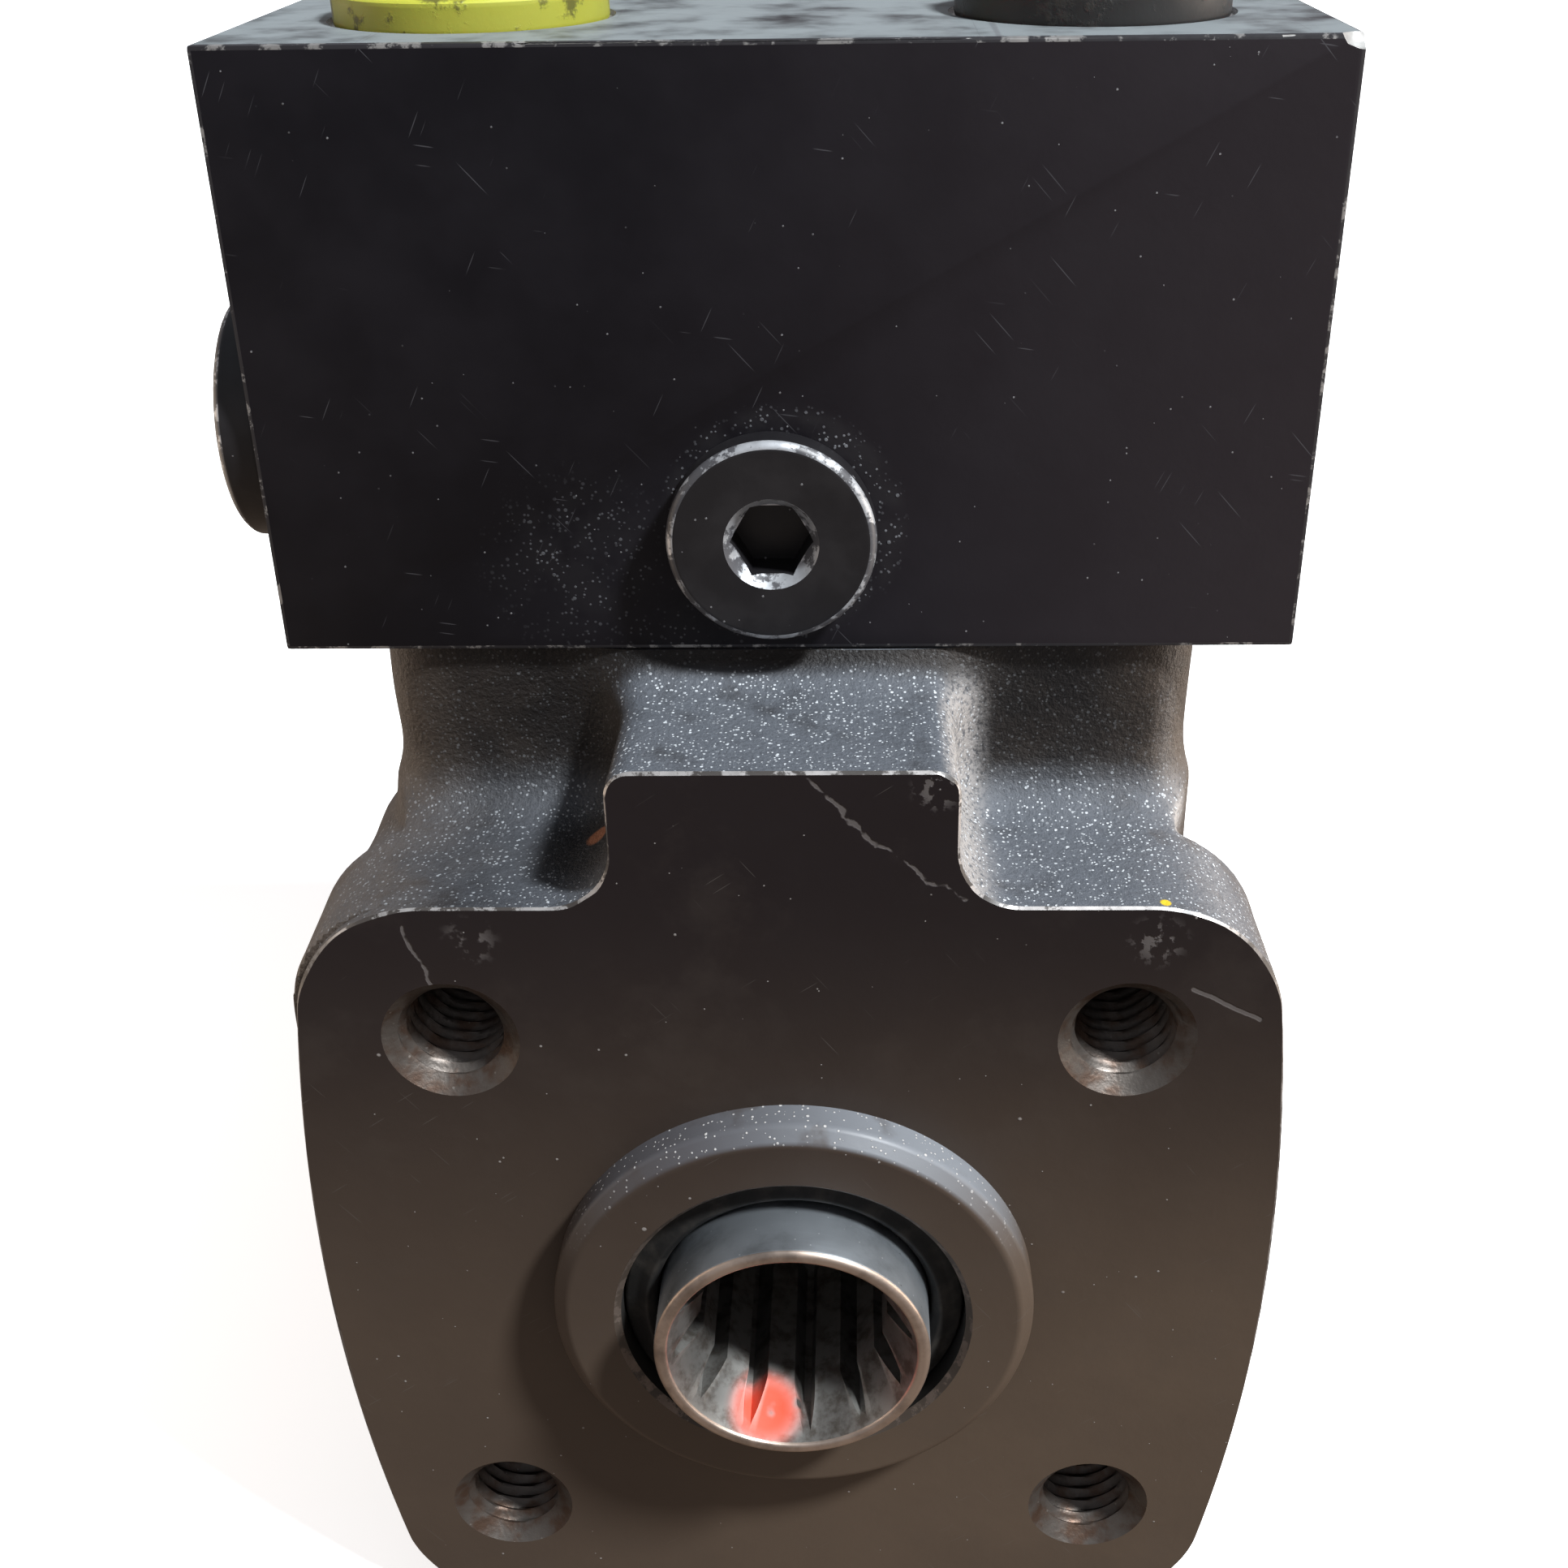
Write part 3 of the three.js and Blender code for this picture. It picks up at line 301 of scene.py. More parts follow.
# ---------------------------------------------------------------- materials
class Finish:
    """A procedural material in the making. Its texture space is in millimetres."""

    def __init__(self, name, **shader):
        self.material = bpy.data.materials.new(name)
        self.material.use_nodes = True
        self.tree = self.material.node_tree
        self.shader = self.tree.nodes["Principled BSDF"]
        for socket, value in shader.items():
            self.shader.inputs[socket.replace("_", " ")].default_value = value
        self.place = self.add("TexCoord")
        self.mm = self.vector("SCALE", self.place.outputs["Object"], Scale=1 / MM)

    def add(self, kind, settings=None, **inputs):
        node = self.tree.nodes.new("ShaderNode" + kind)
        for key, value in (settings or {}).items():
            setattr(node, key, value)
        for key, value in inputs.items():
            self.feed(node.inputs[key.replace("_", " ")], value)
        return node

    def feed(self, socket, value):
        if isinstance(value, bpy.types.NodeSocket):
            self.tree.links.new(value, socket)
        else:
            socket.default_value = value

    def vector(self, operation, a, b=None, **inputs):
        """The output of a vector calculation: a number for a length or a product."""
        node = self.add("VectorMath", {"operation": operation}, **inputs)
        self.feed(node.inputs[0], a)
        if b is not None:
            self.feed(node.inputs[1], b)
        return node.outputs["Value" if operation in ("DISTANCE", "DOT_PRODUCT") else "Vector"]

    def math(self, operation, a, b=0.0):
        node = self.add("Math", {"operation": operation})
        self.feed(node.inputs[0], a)
        self.feed(node.inputs[1], b)
        return node.outputs[0]

    def both(self, a, b):
        return self.math("MULTIPLY", a, b)

    def either(self, a, b):
        return self.math("MAXIMUM", a, b)

    def mask(self, value, low, high):
        """0 below low and 1 above high, or the other way round where low is above high."""
        node = self.add("MapRange", {"interpolation_type": "SMOOTHSTEP"}, Value=value)
        self.feed(node.inputs["From Min"], low)
        self.feed(node.inputs["From Max"], high)
        return node.outputs[0]

    def level(self, share, low, high):
        """A number that runs from low to high with a mask."""
        node = self.add("MapRange", Value=share)
        node.inputs["To Min"].default_value = low
        node.inputs["To Max"].default_value = high
        return node.outputs[0]

    def blend(self, share, a, b):
        """From one colour to another with a mask."""
        node = self.add("Mix", {"data_type": "RGBA"})
        for index, value in ((0, share), (6, a), (7, b)):
            self.feed(node.inputs[index], (*value, 1) if isinstance(value, tuple) else value)
        return node.outputs[2]

    def stretched(self, sizes, turn=(0, 0, 0)):
        """Texture space squeezed so that one unit is sizes millimetres, after a turn in degrees."""
        node = self.add("Mapping", {"vector_type": "TEXTURE"}, Vector=self.mm)
        node.inputs["Scale"].default_value = sizes
        node.inputs["Rotation"].default_value = [math.radians(a) for a in turn]
        return node.outputs[0]

    def noise(self, size, detail=3.0, rough=0.55, space=None):
        """Cloudy variation round 0.5, with features about size millimetres across."""
        node = self.add("TexNoise", Vector=space or self.mm, Scale=1 / size, Detail=detail,
                        Roughness=rough)
        return node.outputs[0]

    def dots(self, spacing, radius, share, space=None):
        """Small round dots: one in some of the cells of an uneven grid."""
        cells = self.add("TexVoronoi", Vector=space or self.mm, Scale=1 / spacing)
        pick = self.add("SeparateColor", Color=cells.outputs["Color"])
        near = self.mask(cells.outputs["Distance"], radius / spacing, 0.6 * radius / spacing)
        return self.both(near, self.mask(pick.outputs[0], 1 - share, 1.001 - share))

    def scratches(self, length, width, share, turn):
        """Short straight hairlines across faces that look along Y."""
        space = self.stretched((length, 400, width), (0, turn, 0))
        return self.dots(1.0, 0.3, share, space)

    def facing(self, axis, low, high):
        """Faces whose own normal points along an axis (0 X, 1 Y, 2 Z)."""
        parts = self.add("SeparateXYZ", Vector=self.place.outputs["Normal"])
        return self.mask(parts.outputs[axis], low, high)

    def along(self, axis, low, high):
        """A ramp between two places along an axis of the unit."""
        start = ORIGIN[axis] / MM
        parts = self.add("SeparateXYZ", Vector=self.mm)
        return self.mask(parts.outputs[axis], start + low, start + high)

    def near(self, point, inner, outer):
        """1 within inner of a point of the unit, and 0 beyond outer."""
        return self.mask(self.vector("DISTANCE", self.mm, Vector(point) + ORIGIN / MM), outer, inner)

    def streak(self, start, end, width, wander=0.0):
        """A line between two points of the unit, in a space that may wander."""
        a, b = Vector(start) + ORIGIN / MM, Vector(end) + ORIGIN / MM
        span, space = b - a, self.mm
        if wander:
            shake = self.add("TexNoise", Vector=self.mm, Scale=0.45, Detail=3.0).outputs["Color"]
            centred = self.vector("SUBTRACT", shake, (0.5, 0.5, 0.5))
            space = self.vector("ADD", self.mm, self.vector("SCALE", centred, Scale=wander))
        offset = self.vector("SUBTRACT", space, a)
        run = self.vector("DOT_PRODUCT", offset, span / span.length_squared)
        share = self.add("Clamp", Value=run).outputs[0]
        gap = self.vector("DISTANCE", offset, self.vector("SCALE", span, Scale=share))
        return self.mask(gap, width, 0.5 * width)

    def relief(self, *layers):
        """Bump from (height, millimetres) layers."""
        normal = None
        for height, depth in layers:
            bump = self.add("Bump", Height=height)
            bump.inputs["Distance"].default_value = depth * MM
            if normal:
                self.feed(bump.inputs["Normal"], normal)
            normal = bump.outputs[0]
        self.feed(self.shader.inputs["Normal"], normal)

    def base(self, share, a, b):
        """The first coat: from one colour to another with a mask."""
        self.colour = self.blend(share, a, b)

    def coat(self, share, colour):
        """Lays a colour over what is there so far."""
        self.colour = self.blend(share, self.colour, colour)

    def done(self, roughness=None, metallic=None):
        self.feed(self.shader.inputs["Base Color"], self.colour)
        if roughness is not None:
            self.feed(self.shader.inputs["Roughness"], roughness)
        if metallic is not None:
            self.feed(self.shader.inputs["Metallic"], metallic)
        return self.material


PLUG = middle("front_port_plug")
DUST = (0.16, 0.165, 0.18)
DUST_FILM = (0.110, 0.122, 0.142)
DUST_WITH_PAINTED_LIGHT = (0.175, 0.190, 0.210)
# Warm grime colour, also laid on the neck's sides as painted warm bounce light.
WARM_GRIME_AND_BOUNCE = (0.060, 0.046, 0.036)
BARE = (0.42, 0.41, 0.40)


def block_paint():
    f = Finish("block_paint", Specular_IOR_Level=0.2)
    front = BLOCK_LOW.y
    clouds = f.mask(f.noise(16, 4), 0.35, 0.68)
    f.base(clouds, (0.0040, 0.0036, 0.0058), (0.0078, 0.0070, 0.0100))
    # Painted light: the block's front is lighter towards the right, the side the key light comes from.
    f.coat(f.both(f.along(0, -20, 44), 0.85), (0.0225, 0.0185, 0.0220))
    grains = f.either(f.dots(0.42, 0.14, 0.55), f.dots(0.75, 0.2, 0.4))
    ring = f.near((PLUG.x + 0.9, front, PLUG.z + 0.5), 9.3, 10.8)
    patch = f.either(f.near((-17, front, 66.5), 2, 10), f.both(f.near((-9, front, 60.5), 1, 9), 0.7))
    gathered = f.both(f.either(ring, f.both(patch, 0.6)), f.mask(f.noise(3.5, 4), 0.34, 0.62))
    f.coat(f.both(gathered, 0.35), (0.030, 0.029, 0.031))
    dust = f.both(gathered, grains)
    f.coat(dust, DUST)
    top = f.both(f.facing(2, 0.4, 0.9), f.mask(f.noise(6, 5), 0.2, 0.6))
    f.coat(f.both(top, 0.75), (0.26, 0.29, 0.30))
    marks = f.either(f.scratches(6, 0.16, 0.03, 48), f.scratches(4, 0.14, 0.03, -64))
    marks = f.both(f.either(marks, f.scratches(3, 0.2, 0.02, 8)), f.mask(f.noise(14, 2), 0.5, 0.6))
    crumbs = f.both(f.dots(4.4, 0.32, 0.06), f.mask(f.noise(0.4, 2), 0.4, 0.55))
    fine = f.both(f.dots(1.1, 0.1, 0.3), f.mask(f.noise(9, 3), 0.45, 0.6))
    specks = f.either(f.either(f.dots(1.7, 0.11, 0.16), crumbs), fine)
    f.coat(f.both(marks, 0.5), (0.10, 0.10, 0.11))
    f.coat(f.both(specks, 0.8), (0.24, 0.24, 0.25))
    f.relief((f.noise(1.3, 3), 0.02), (dust, 0.06), (specks, 0.05))
    return f.done(f.level(f.either(dust, f.noise(8, 3)), 0.34, 0.62))


def cast_paint():
    """Sand-cast skin: dark paint, warm grime and painted warm bounce light on the sides, gritty dust where it
    can lie, and painted light and shade in where the dust lies.
    """
    f = Finish("cast_paint", Specular_IOR_Level=0.3)
    grain = f.noise(0.42, 4, 0.65)
    clouds = f.mask(f.noise(9, 4), 0.35, 0.7)
    f.base(clouds, (0.0060, 0.0050, 0.0052), (0.0125, 0.0105, 0.0100))
    # Painted light: warm bounce light on the neck's left and right sides, added to the random grime.
    painted_bounce_flanks = f.either(f.along(0, 25, 36), f.along(0, -26, -36))
    grime = f.both(f.mask(f.noise(13, 4), 0.45, 0.7), 0.22)
    grime = f.either(grime, f.both(painted_bounce_flanks, f.mask(f.noise(7, 5, 0.65), 0.15, 0.62)))
    f.coat(grime, WARM_GRIME_AND_BOUNCE)
    up = f.facing(2, 0.15, 0.85)
    # The right-facing tab wall and its fillet: a mask for a pale coat that is partly dust and partly painted
    # light on the side facing the key light.
    wall = f.both(f.both(f.facing(0, 0.25, 0.9), f.along(1, 20, 16)), f.along(2, EARS_Z - 4, EARS_Z))
    # Painted shade: no dust on upward faces just under the block's front, where its shade falls.
    outside_painted_block_shade = f.either(f.along(2, 53, 50.5), f.along(1, 16.8, 14.8))
    dust_with_painted_light_and_shade = f.both(f.either(f.both(up, outside_painted_block_shade), wall), f.mask(f.noise(5, 5), 0.12, 0.5))
    # Painted shade: less dust towards the left ear, which stays darker as if in shade.
    dust_with_painted_light_and_shade = f.both(dust_with_painted_light_and_shade, f.level(f.along(0, -30, -8), 0.35, 1.0))
    # Painted shadow: dust is thinned where the tab's shadow falls on the left ear.
    outside_painted_tab_shadow = f.level(f.near((-TAB_HALF - 2.5, 9, EARS_Z + 2), 3, 8), 1.0, 0.15)
    dust_with_painted_light_and_shade = f.both(dust_with_painted_light_and_shade, outside_painted_tab_shadow)
    f.coat(f.both(dust_with_painted_light_and_shade, f.level(grain, 0.45, 1.0)), DUST_FILM)
    # Dust and painted light: pale warm grey on the right-facing tab wall.
    f.coat(f.both(wall, f.mask(grain, 0.32, 0.55)), (0.29, 0.275, 0.265))
    glints = f.either(f.either(f.dots(0.36, 0.12, 0.5), f.dots(0.6, 0.17, 0.4)), f.dots(1.3, 0.2, 0.2))
    glints = f.both(f.both(glints, f.either(dust_with_painted_light_and_shade, 0.1)), f.mask(f.noise(1.6, 3), 0.3, 0.55))
    f.coat(glints, (0.50, 0.53, 0.56))
    f.coat(f.near((31.5, 0.9, EARS_Z), 0.35, 0.55), (0.60, 0.42, 0.02))
    f.coat(f.near((-TAB_HALF - 2.2, 10, EARS_Z + 1.0), 0.9, 1.4), (0.30, 0.12, 0.06))
    f.relief((f.noise(4, 3), 0.14), (grain, 0.20), (glints, 0.05))
    return f.done(f.level(grain, 0.38, 0.66))


def face_marks(f):
    """Scratches and peeled spots on the flange's front, beside the tab and the right-hand holes."""
    bend = (7.5, 0, 49)
    peel = f.either(f.streak((1.8, 0, 55), bend, 0.34, 2.2), f.streak(bend, (14.5, 0, 43.6), 0.32, 2.2))
    peel = f.either(peel, f.both(f.near((12.4, 0, 54), 0.6, 2.6), f.mask(f.noise(0.9, 3), 0.5, 0.58)))
    cut = f.streak((34.4, 0, 34.6), (40.3, 0, 31.4), 0.3, 0.5)
    cut = f.either(cut, f.streak((-32, 0, 41), (-29.8, 0, 34), 0.28, 1.6))
    patch = f.both(f.near((31, 0, 39.5), 0.5, 3.2), f.mask(f.noise(1.2, 3), 0.52, 0.6))
    patch = f.either(patch, f.both(f.near((-26.5, 0, 39.5), 0.5, 3), f.mask(f.noise(1.4, 3), 0.5, 0.62)))
    return f.either(f.either(peel, cut), patch)


def face_paint():
    """Smooth machined faces: dark paint that a painted warm brown reflection lightens towards the foot and
    towards the right.
    """
    f = Finish("face_paint", Specular_IOR_Level=0.3)
    # Painted reflection: warm brown light from below, strongest at the foot and stronger towards the right.
    painted_light_ramp = f.both(f.along(2, 48, -14), f.level(f.along(0, -40, 30), 0.72, 1.0))
    painted_light_ramp = f.both(painted_light_ramp, f.level(f.mask(f.noise(20, 4), 0.3, 0.72), 0.85, 1.0))
    f.base(painted_light_ramp, (0.0095, 0.0065, 0.0075), (0.090, 0.064, 0.045))
    smear = f.both(f.mask(f.noise(11, 5, 0.65), 0.5, 0.72), 0.16)
    f.coat(smear, (0.060, 0.048, 0.040))
    marks = f.either(f.scratches(6, 0.14, 0.03, 52), f.scratches(4, 0.12, 0.03, -35))
    marks = f.both(marks, f.mask(f.noise(12, 2), 0.5, 0.6))
    f.coat(f.both(marks, 0.4), (0.12, 0.11, 0.10))
    specks = f.either(f.dots(2.4, 0.15, 0.4), f.dots(5.5, 0.28, 0.2))
    specks = f.both(f.either(f.dots(1.1, 0.09, 0.16), specks), 0.75)
    f.coat(specks, (0.29, 0.27, 0.255))
    chips = face_marks(f)
    f.coat(f.both(chips, 0.6), (0.15, 0.135, 0.13))
    lying = f.both(f.facing(2, 0.2, 0.75), f.mask(f.noise(4, 4), 0.12, 0.45))
    # Dust on upward faces with painted light: darker on the left, paler on the right where the key light
    # falls.
    painted_light_ramp = f.blend(f.along(0, -12, 14), (0.070, 0.070, 0.078), DUST_WITH_PAINTED_LIGHT)
    f.coat(f.both(lying, 0.85), painted_light_ramp)
    grit = f.either(f.dots(0.4, 0.12, 0.35), f.dots(0.8, 0.18, 0.3))
    f.coat(f.both(lying, grit), (0.42, 0.41, 0.40))
    raised = f.math("SUBTRACT", specks, chips)
    f.relief((f.noise(1.6, 4), 0.025), (raised, 0.05), (f.both(lying, grit), 0.06))
    return f.done(f.level(f.noise(7, 4), 0.36, 0.6))


def worn_edge(name, paint, bare, bareness, above=None):
    """Edge where paint has rubbed through to metal in places, most of all above a height, where the bright
    metal is also painted light on the lit top edges.
    """
    f = Finish(name, Specular_IOR_Level=0.5)
    rubbed_and_lit = f.mask(f.noise(2.6, 5, 0.7), 0.62 - bareness, 0.70 - bareness)
    # Painted light: the bare edge is kept bright above the height, on the top edges the key light falls on,
    # and darker on the sides.
    if above:
        rubbed_and_lit = f.both(rubbed_and_lit, f.level(f.along(2, above - 2, above), 0.3, 1.0))
    stain = f.blend(f.noise(1.1, 3), bare, tuple(0.45 * c for c in bare))
    f.base(rubbed_and_lit, paint, stain)
    return f.done(f.level(f.noise(0.8, 2), 0.3, 0.55), f.both(rubbed_and_lit, 0.6))


def steel(name, colour, roughness, stain=0.35, lines=0.6, grit=0.0):
    """Turned steel: fine rings round Y, oily stains, small pits and some grit."""
    f = Finish(name, Metallic=0.9)
    rings = f.noise(1.0, 2, space=f.stretched((25, 0.22, 25)))
    dark = tuple(0.35 * c for c in colour)
    f.base(f.both(f.mask(f.noise(6, 5, 0.65), 0.42, 0.7), stain), colour, dark)
    f.coat(f.both(f.mask(rings, 0.5, 0.75), 0.25 * lines), tuple(1.35 * c for c in colour))
    f.coat(f.both(f.dots(1.9, 0.12, 0.2), 0.8), dark)
    if grit:
        grains = f.either(f.dots(0.7, 0.1, 0.2), f.dots(1.5, 0.15, 0.3))
        f.coat(f.both(grains, grit), (0.85, 0.88, 0.9))
    f.relief((rings, 0.012 * lines), (f.noise(0.9, 3), 0.008))
    return f.done(f.level(f.noise(5, 4), roughness - 0.08, roughness + 0.14))


def spline_steel():
    """Oiled spline steel with a mark of red assembly paint low in the mouth."""
    f = Finish("spline_steel", Metallic=0.85)
    front = limits("spool")[0].y
    stain = f.mask(f.noise(2.2, 4, 0.65), 0.42, 0.68)
    f.base(stain, (0.27, 0.265, 0.25), (0.13, 0.115, 0.10))
    red = f.both(f.near((-2.8, front + 3, -9.8), 1.6, 4.4), f.mask(f.noise(2.6, 2), 0.25, 0.45))
    f.coat(f.both(red, 0.95), (0.62, 0.060, 0.022))
    f.relief((f.noise(0.7, 3), 0.01))
    painted = f.mask(red, 0.1, 0.4)
    return f.done(f.level(f.noise(3, 4), 0.38, 0.56), f.level(painted, 0.85, 0.0))


def thread_steel():
    f = Finish("thread_steel", Metallic=0.75)
    brown = f.mask(f.noise(2.4, 4), 0.4, 0.68)
    f.base(brown, (0.105, 0.092, 0.082), (0.075, 0.046, 0.032))
    grit = f.dots(0.9, 0.14, 0.3)
    f.coat(f.both(grit, 0.6), (0.22, 0.20, 0.18))
    f.relief((f.noise(0.6, 4), 0.05))
    return f.done(f.level(f.noise(1.5, 4), 0.30, 0.6))


def black_oxide():
    f = Finish("black_oxide", Metallic=0.25, Specular_IOR_Level=0.5)
    f.base(f.mask(f.noise(5, 4), 0.4, 0.7), (0.0105, 0.0098, 0.0115), (0.0185, 0.0175, 0.0195))
    specks = f.either(f.dots(1.1, 0.12, 0.3), f.dots(2.6, 0.22, 0.2))
    f.coat(f.both(specks, 0.7), (0.24, 0.24, 0.25))
    f.relief((f.noise(0.9, 3), 0.015), (specks, 0.03))
    return f.done(f.level(f.noise(3, 4), 0.3, 0.52))


def rubber():
    f = Finish("rubber", Specular_IOR_Level=0.35)
    f.base(f.mask(f.noise(2.5, 4), 0.45, 0.7), (0.008, 0.0078, 0.0075), (0.026, 0.023, 0.020))
    f.relief((f.noise(0.5, 3), 0.02))
    return f.done(f.level(f.noise(1.2, 3), 0.55, 0.8))


def plastic(name, clean, dirty, dirt):
    """Moulded polyethylene with ground-in grime, and painted shade that darkens the faces which do not look
    up.
    """
    f = Finish(name, Specular_IOR_Level=0.45, Subsurface_Weight=0.05)
    grime = f.mask(f.noise(3.4, 6, 0.7), 0.62 - dirt, 0.74 - dirt)
    # Painted shade: faces that do not look up are darkened a quarter of the way to the dirty colour.
    low = f.both(f.facing(2, 0.6, 0.2), 0.25)
    f.base(f.either(f.both(grime, 0.85), low), clean, dirty)
    f.coat(f.both(f.dots(0.9, 0.14, 0.25), 0.6), tuple(0.4 * c for c in dirty))
    f.relief((f.noise(0.7, 4), 0.02), (grime, 0.03))
    return f.done(f.level(f.noise(2, 4), 0.34, 0.6))


CAST = cast_paint()
FACE = face_paint()
BLOCK_PAINT = block_paint()
FACE_EDGE = worn_edge("face_edge", (0.034, 0.029, 0.026), (0.46, 0.44, 0.43), 0.16, 41)
BORE_EDGE = worn_edge("bore_edge", (0.050, 0.038, 0.030), (0.24, 0.19, 0.16), 0.12)
BLOCK_EDGE = worn_edge("block_edge", (0.016, 0.015, 0.018), BARE, 0.10)
BARE_METAL = worn_edge("bare_metal", (0.10, 0.10, 0.10), (0.60, 0.59, 0.57), 0.5)
THREAD = thread_steel()
BORE = steel("bore_steel", (0.10, 0.095, 0.09), 0.42)
JOURNAL = steel("journal_steel", (0.47, 0.51, 0.55), 0.36, 0.5, grit=0.8)
RIM = steel("rim_steel", (0.46, 0.37, 0.31), 0.36, 0.75)
SPLINE = spline_steel()
GROUND = steel("ground_steel", (0.55, 0.55, 0.56), 0.24, 0.2)
WORN = steel("worn_steel", (0.27, 0.27, 0.275), 0.36, 0.45)
PLATE = steel("plate_steel", (0.30, 0.295, 0.29), 0.40, 0.5)
BRASS = steel("brass", (0.62, 0.46, 0.20), 0.34, 0.4)
SPRING_STEEL = steel("spring_steel", (0.36, 0.35, 0.35), 0.30, 0.5, 0.2)
OXIDE = black_oxide()
OXIDE_EDGE = worn_edge("oxide_edge", (0.060, 0.060, 0.066), (0.62, 0.64, 0.67), 0.14)
RUBBER = rubber()
YELLOW = plastic("yellow_plastic", (0.42, 0.42, 0.045), (0.055, 0.050, 0.014), 0.12)
BLACK_CAP = plastic("black_plastic", (0.012, 0.012, 0.013), (0.040, 0.037, 0.033), 0.08)


# ---------------------------------------------------------------- housing
def bow(z):
    """Half width of the flange at a height: its sides are slightly barrelled."""
    return HOUSING_HIGH.x - (z - BARREL_Z) ** 2 / (2 * BARREL_R)


def corner_arc(edge_z, side, start, end):
    """A flange corner that runs into the barrelled side without a kink."""
    z = edge_z - side * CORNER_R
    for _ in range(4):
        lean = math.atan((z - BARREL_Z) / BARREL_R)
        z = edge_z - side * CORNER_R + CORNER_R * math.sin(lean)
    centre = (bow(z) - CORNER_R * math.cos(lean), z - CORNER_R * math.sin(lean))
    lean = math.degrees(lean)
    return arc(centre, CORNER_R, *((start, lean) if start is not None else (lean, end)))


def flange_outline():
    """The front face's outline in X and Z, anticlockwise from its lower right corner."""
    low, high = corner_arc(HOUSING_LOW.z, -1, -90, None), corner_arc(EARS_Z, 1, None, 90)
    side = [(bow(z), z) for z in np.linspace(low[-1][1], high[0][1], 26)[1:-1]]
    fillet = arc((TAB_HALF + TAB_FILLET, EARS_Z + TAB_FILLET), TAB_FILLET, -90, -180, 6)
    tip = arc((TAB_HALF - TAB_CORNER, TAB_TOP - TAB_CORNER), TAB_CORNER, 0, 90, 9)
    right = low + side + high + fillet + tip
    return right + [(-x, z) for x, z in reversed(right)]


def flat_distance(outline, u, v):
    """Signed distance from the points of a grid to a closed outline, negative inside."""
    grid = np.stack(np.meshgrid(u, v, indexing="ij"), -1).reshape(-1, 1, 2)
    a = np.array(outline, np.float32)
    b = np.roll(a, -1, 0)
    edge, offset = b - a, grid - a
    share = np.clip((offset * edge).sum(-1) / (edge**2).sum(-1), 0, 1)
    gap = np.sqrt(((offset - share[..., None] * edge) ** 2).sum(-1)).min(1)
    x, y = grid[..., 0], grid[..., 1]
    spans = (a[:, 1] <= y) != (b[:, 1] <= y)
    rise = np.where(edge[:, 1] == 0, 1, edge[:, 1])
    crossed = spans & (x < a[:, 0] + (y - a[:, 1]) * edge[:, 0] / rise)
    inside = crossed.sum(1) % 2 == 1
    return np.where(inside, -gap, gap).reshape(len(u), len(v)).astype(np.float32)


def swept(flat, y, y0, y1, rounding):
    """Distance to a flat outline swept along Y with rounded end edges."""
    across = flat[:, None, :] + rounding
    along = np.maximum(y0 - y, y - y1) + rounding
    outside = np.hypot(np.maximum(across, 0), np.maximum(along, 0))
    return np.minimum(np.maximum(across, along), 0) + outside - rounding


def melted(a, b, reach):
    """Union of two distances with a fillet that starts reach away from the corner."""
    overlap = np.maximum(reach - np.abs(a - b), 0)
    return np.minimum(a, b) - overlap**2 / (4 * reach)


def ripple(x, y, z, seed, size, count=10):
    """Slow waviness of a casting, about one in height."""
    rng = np.random.default_rng(seed)
    total = 0
    for direction, phase in zip(rng.normal(size=(count, 3)), rng.uniform(0, 6.28, count)):
        kx, ky, kz = direction / size * 2.2
        total = total + np.sin(kx * x + ky * y + kz * z + phase)
    return total / math.sqrt(count)


def neck_distance(x, y, z):
    """Distance to the neck under the block and the barrel round the bore."""
    across, front = np.abs(x) - NECK_HALF + NECK_CORNER, NECK_FRONT + NECK_CORNER - y
    neck = np.hypot(np.maximum(across, 0), np.maximum(front, 0))
    neck = neck + np.minimum(np.maximum(across, front), 0) - NECK_CORNER
    barrel = np.maximum(np.hypot(x, z) - BARREL_BODY_R, FLANGE_THICK - 1 - y)
    return np.minimum(np.maximum(neck, -z), barrel)


def column(x, y, z, centre, radius, end, rounding):
    """Distance to a round boss along Y that starts in the flange."""
    flat = np.hypot(x.ravel()[:, None] - centre[0], z.ravel()[None, :] - centre[1]) - radius
    return swept(flat, y, CAST_START, end, rounding)


def cast_distance(x, y, z):
    """Distance to the as-cast outside of the housing, in front of the block and behind the flange."""
    flat = flat_distance(flange_outline(), x.ravel(), z.ravel())
    flange = swept(flat, y, CAST_START, FLANGE_THICK, 2.2)
    beside = np.maximum(flat, np.abs(x.ravel())[:, None] - NECK_HALF + 2)
    web = swept(beside, y, CAST_START, NECK_FRONT + 5, 2.0)
    whole = melted(np.minimum(flange, web), neck_distance(x, y, z), CAST_FILLET)
    for hole in MOUNT_HOLES:
        whole = melted(whole, column(x, y, z, hole, MOUTH_R + 2.6, 20, 2), 3)
    whole = melted(whole, column(x, y, z, BUMP_AT, BUMP_R, 33, 4), 4)
    rear = np.hypot(x, z) - np.interp(y, [55, 67, 76], [14, 34, 44]).astype(np.float32)
    whole = melted(whole, rear * 0.8, 4)
    fade = np.clip((y - 3) / 8, 0, 1)
    return np.maximum(whole + 0.11 * fade * ripple(x, y, z, 4, 9), 1.0 - y)


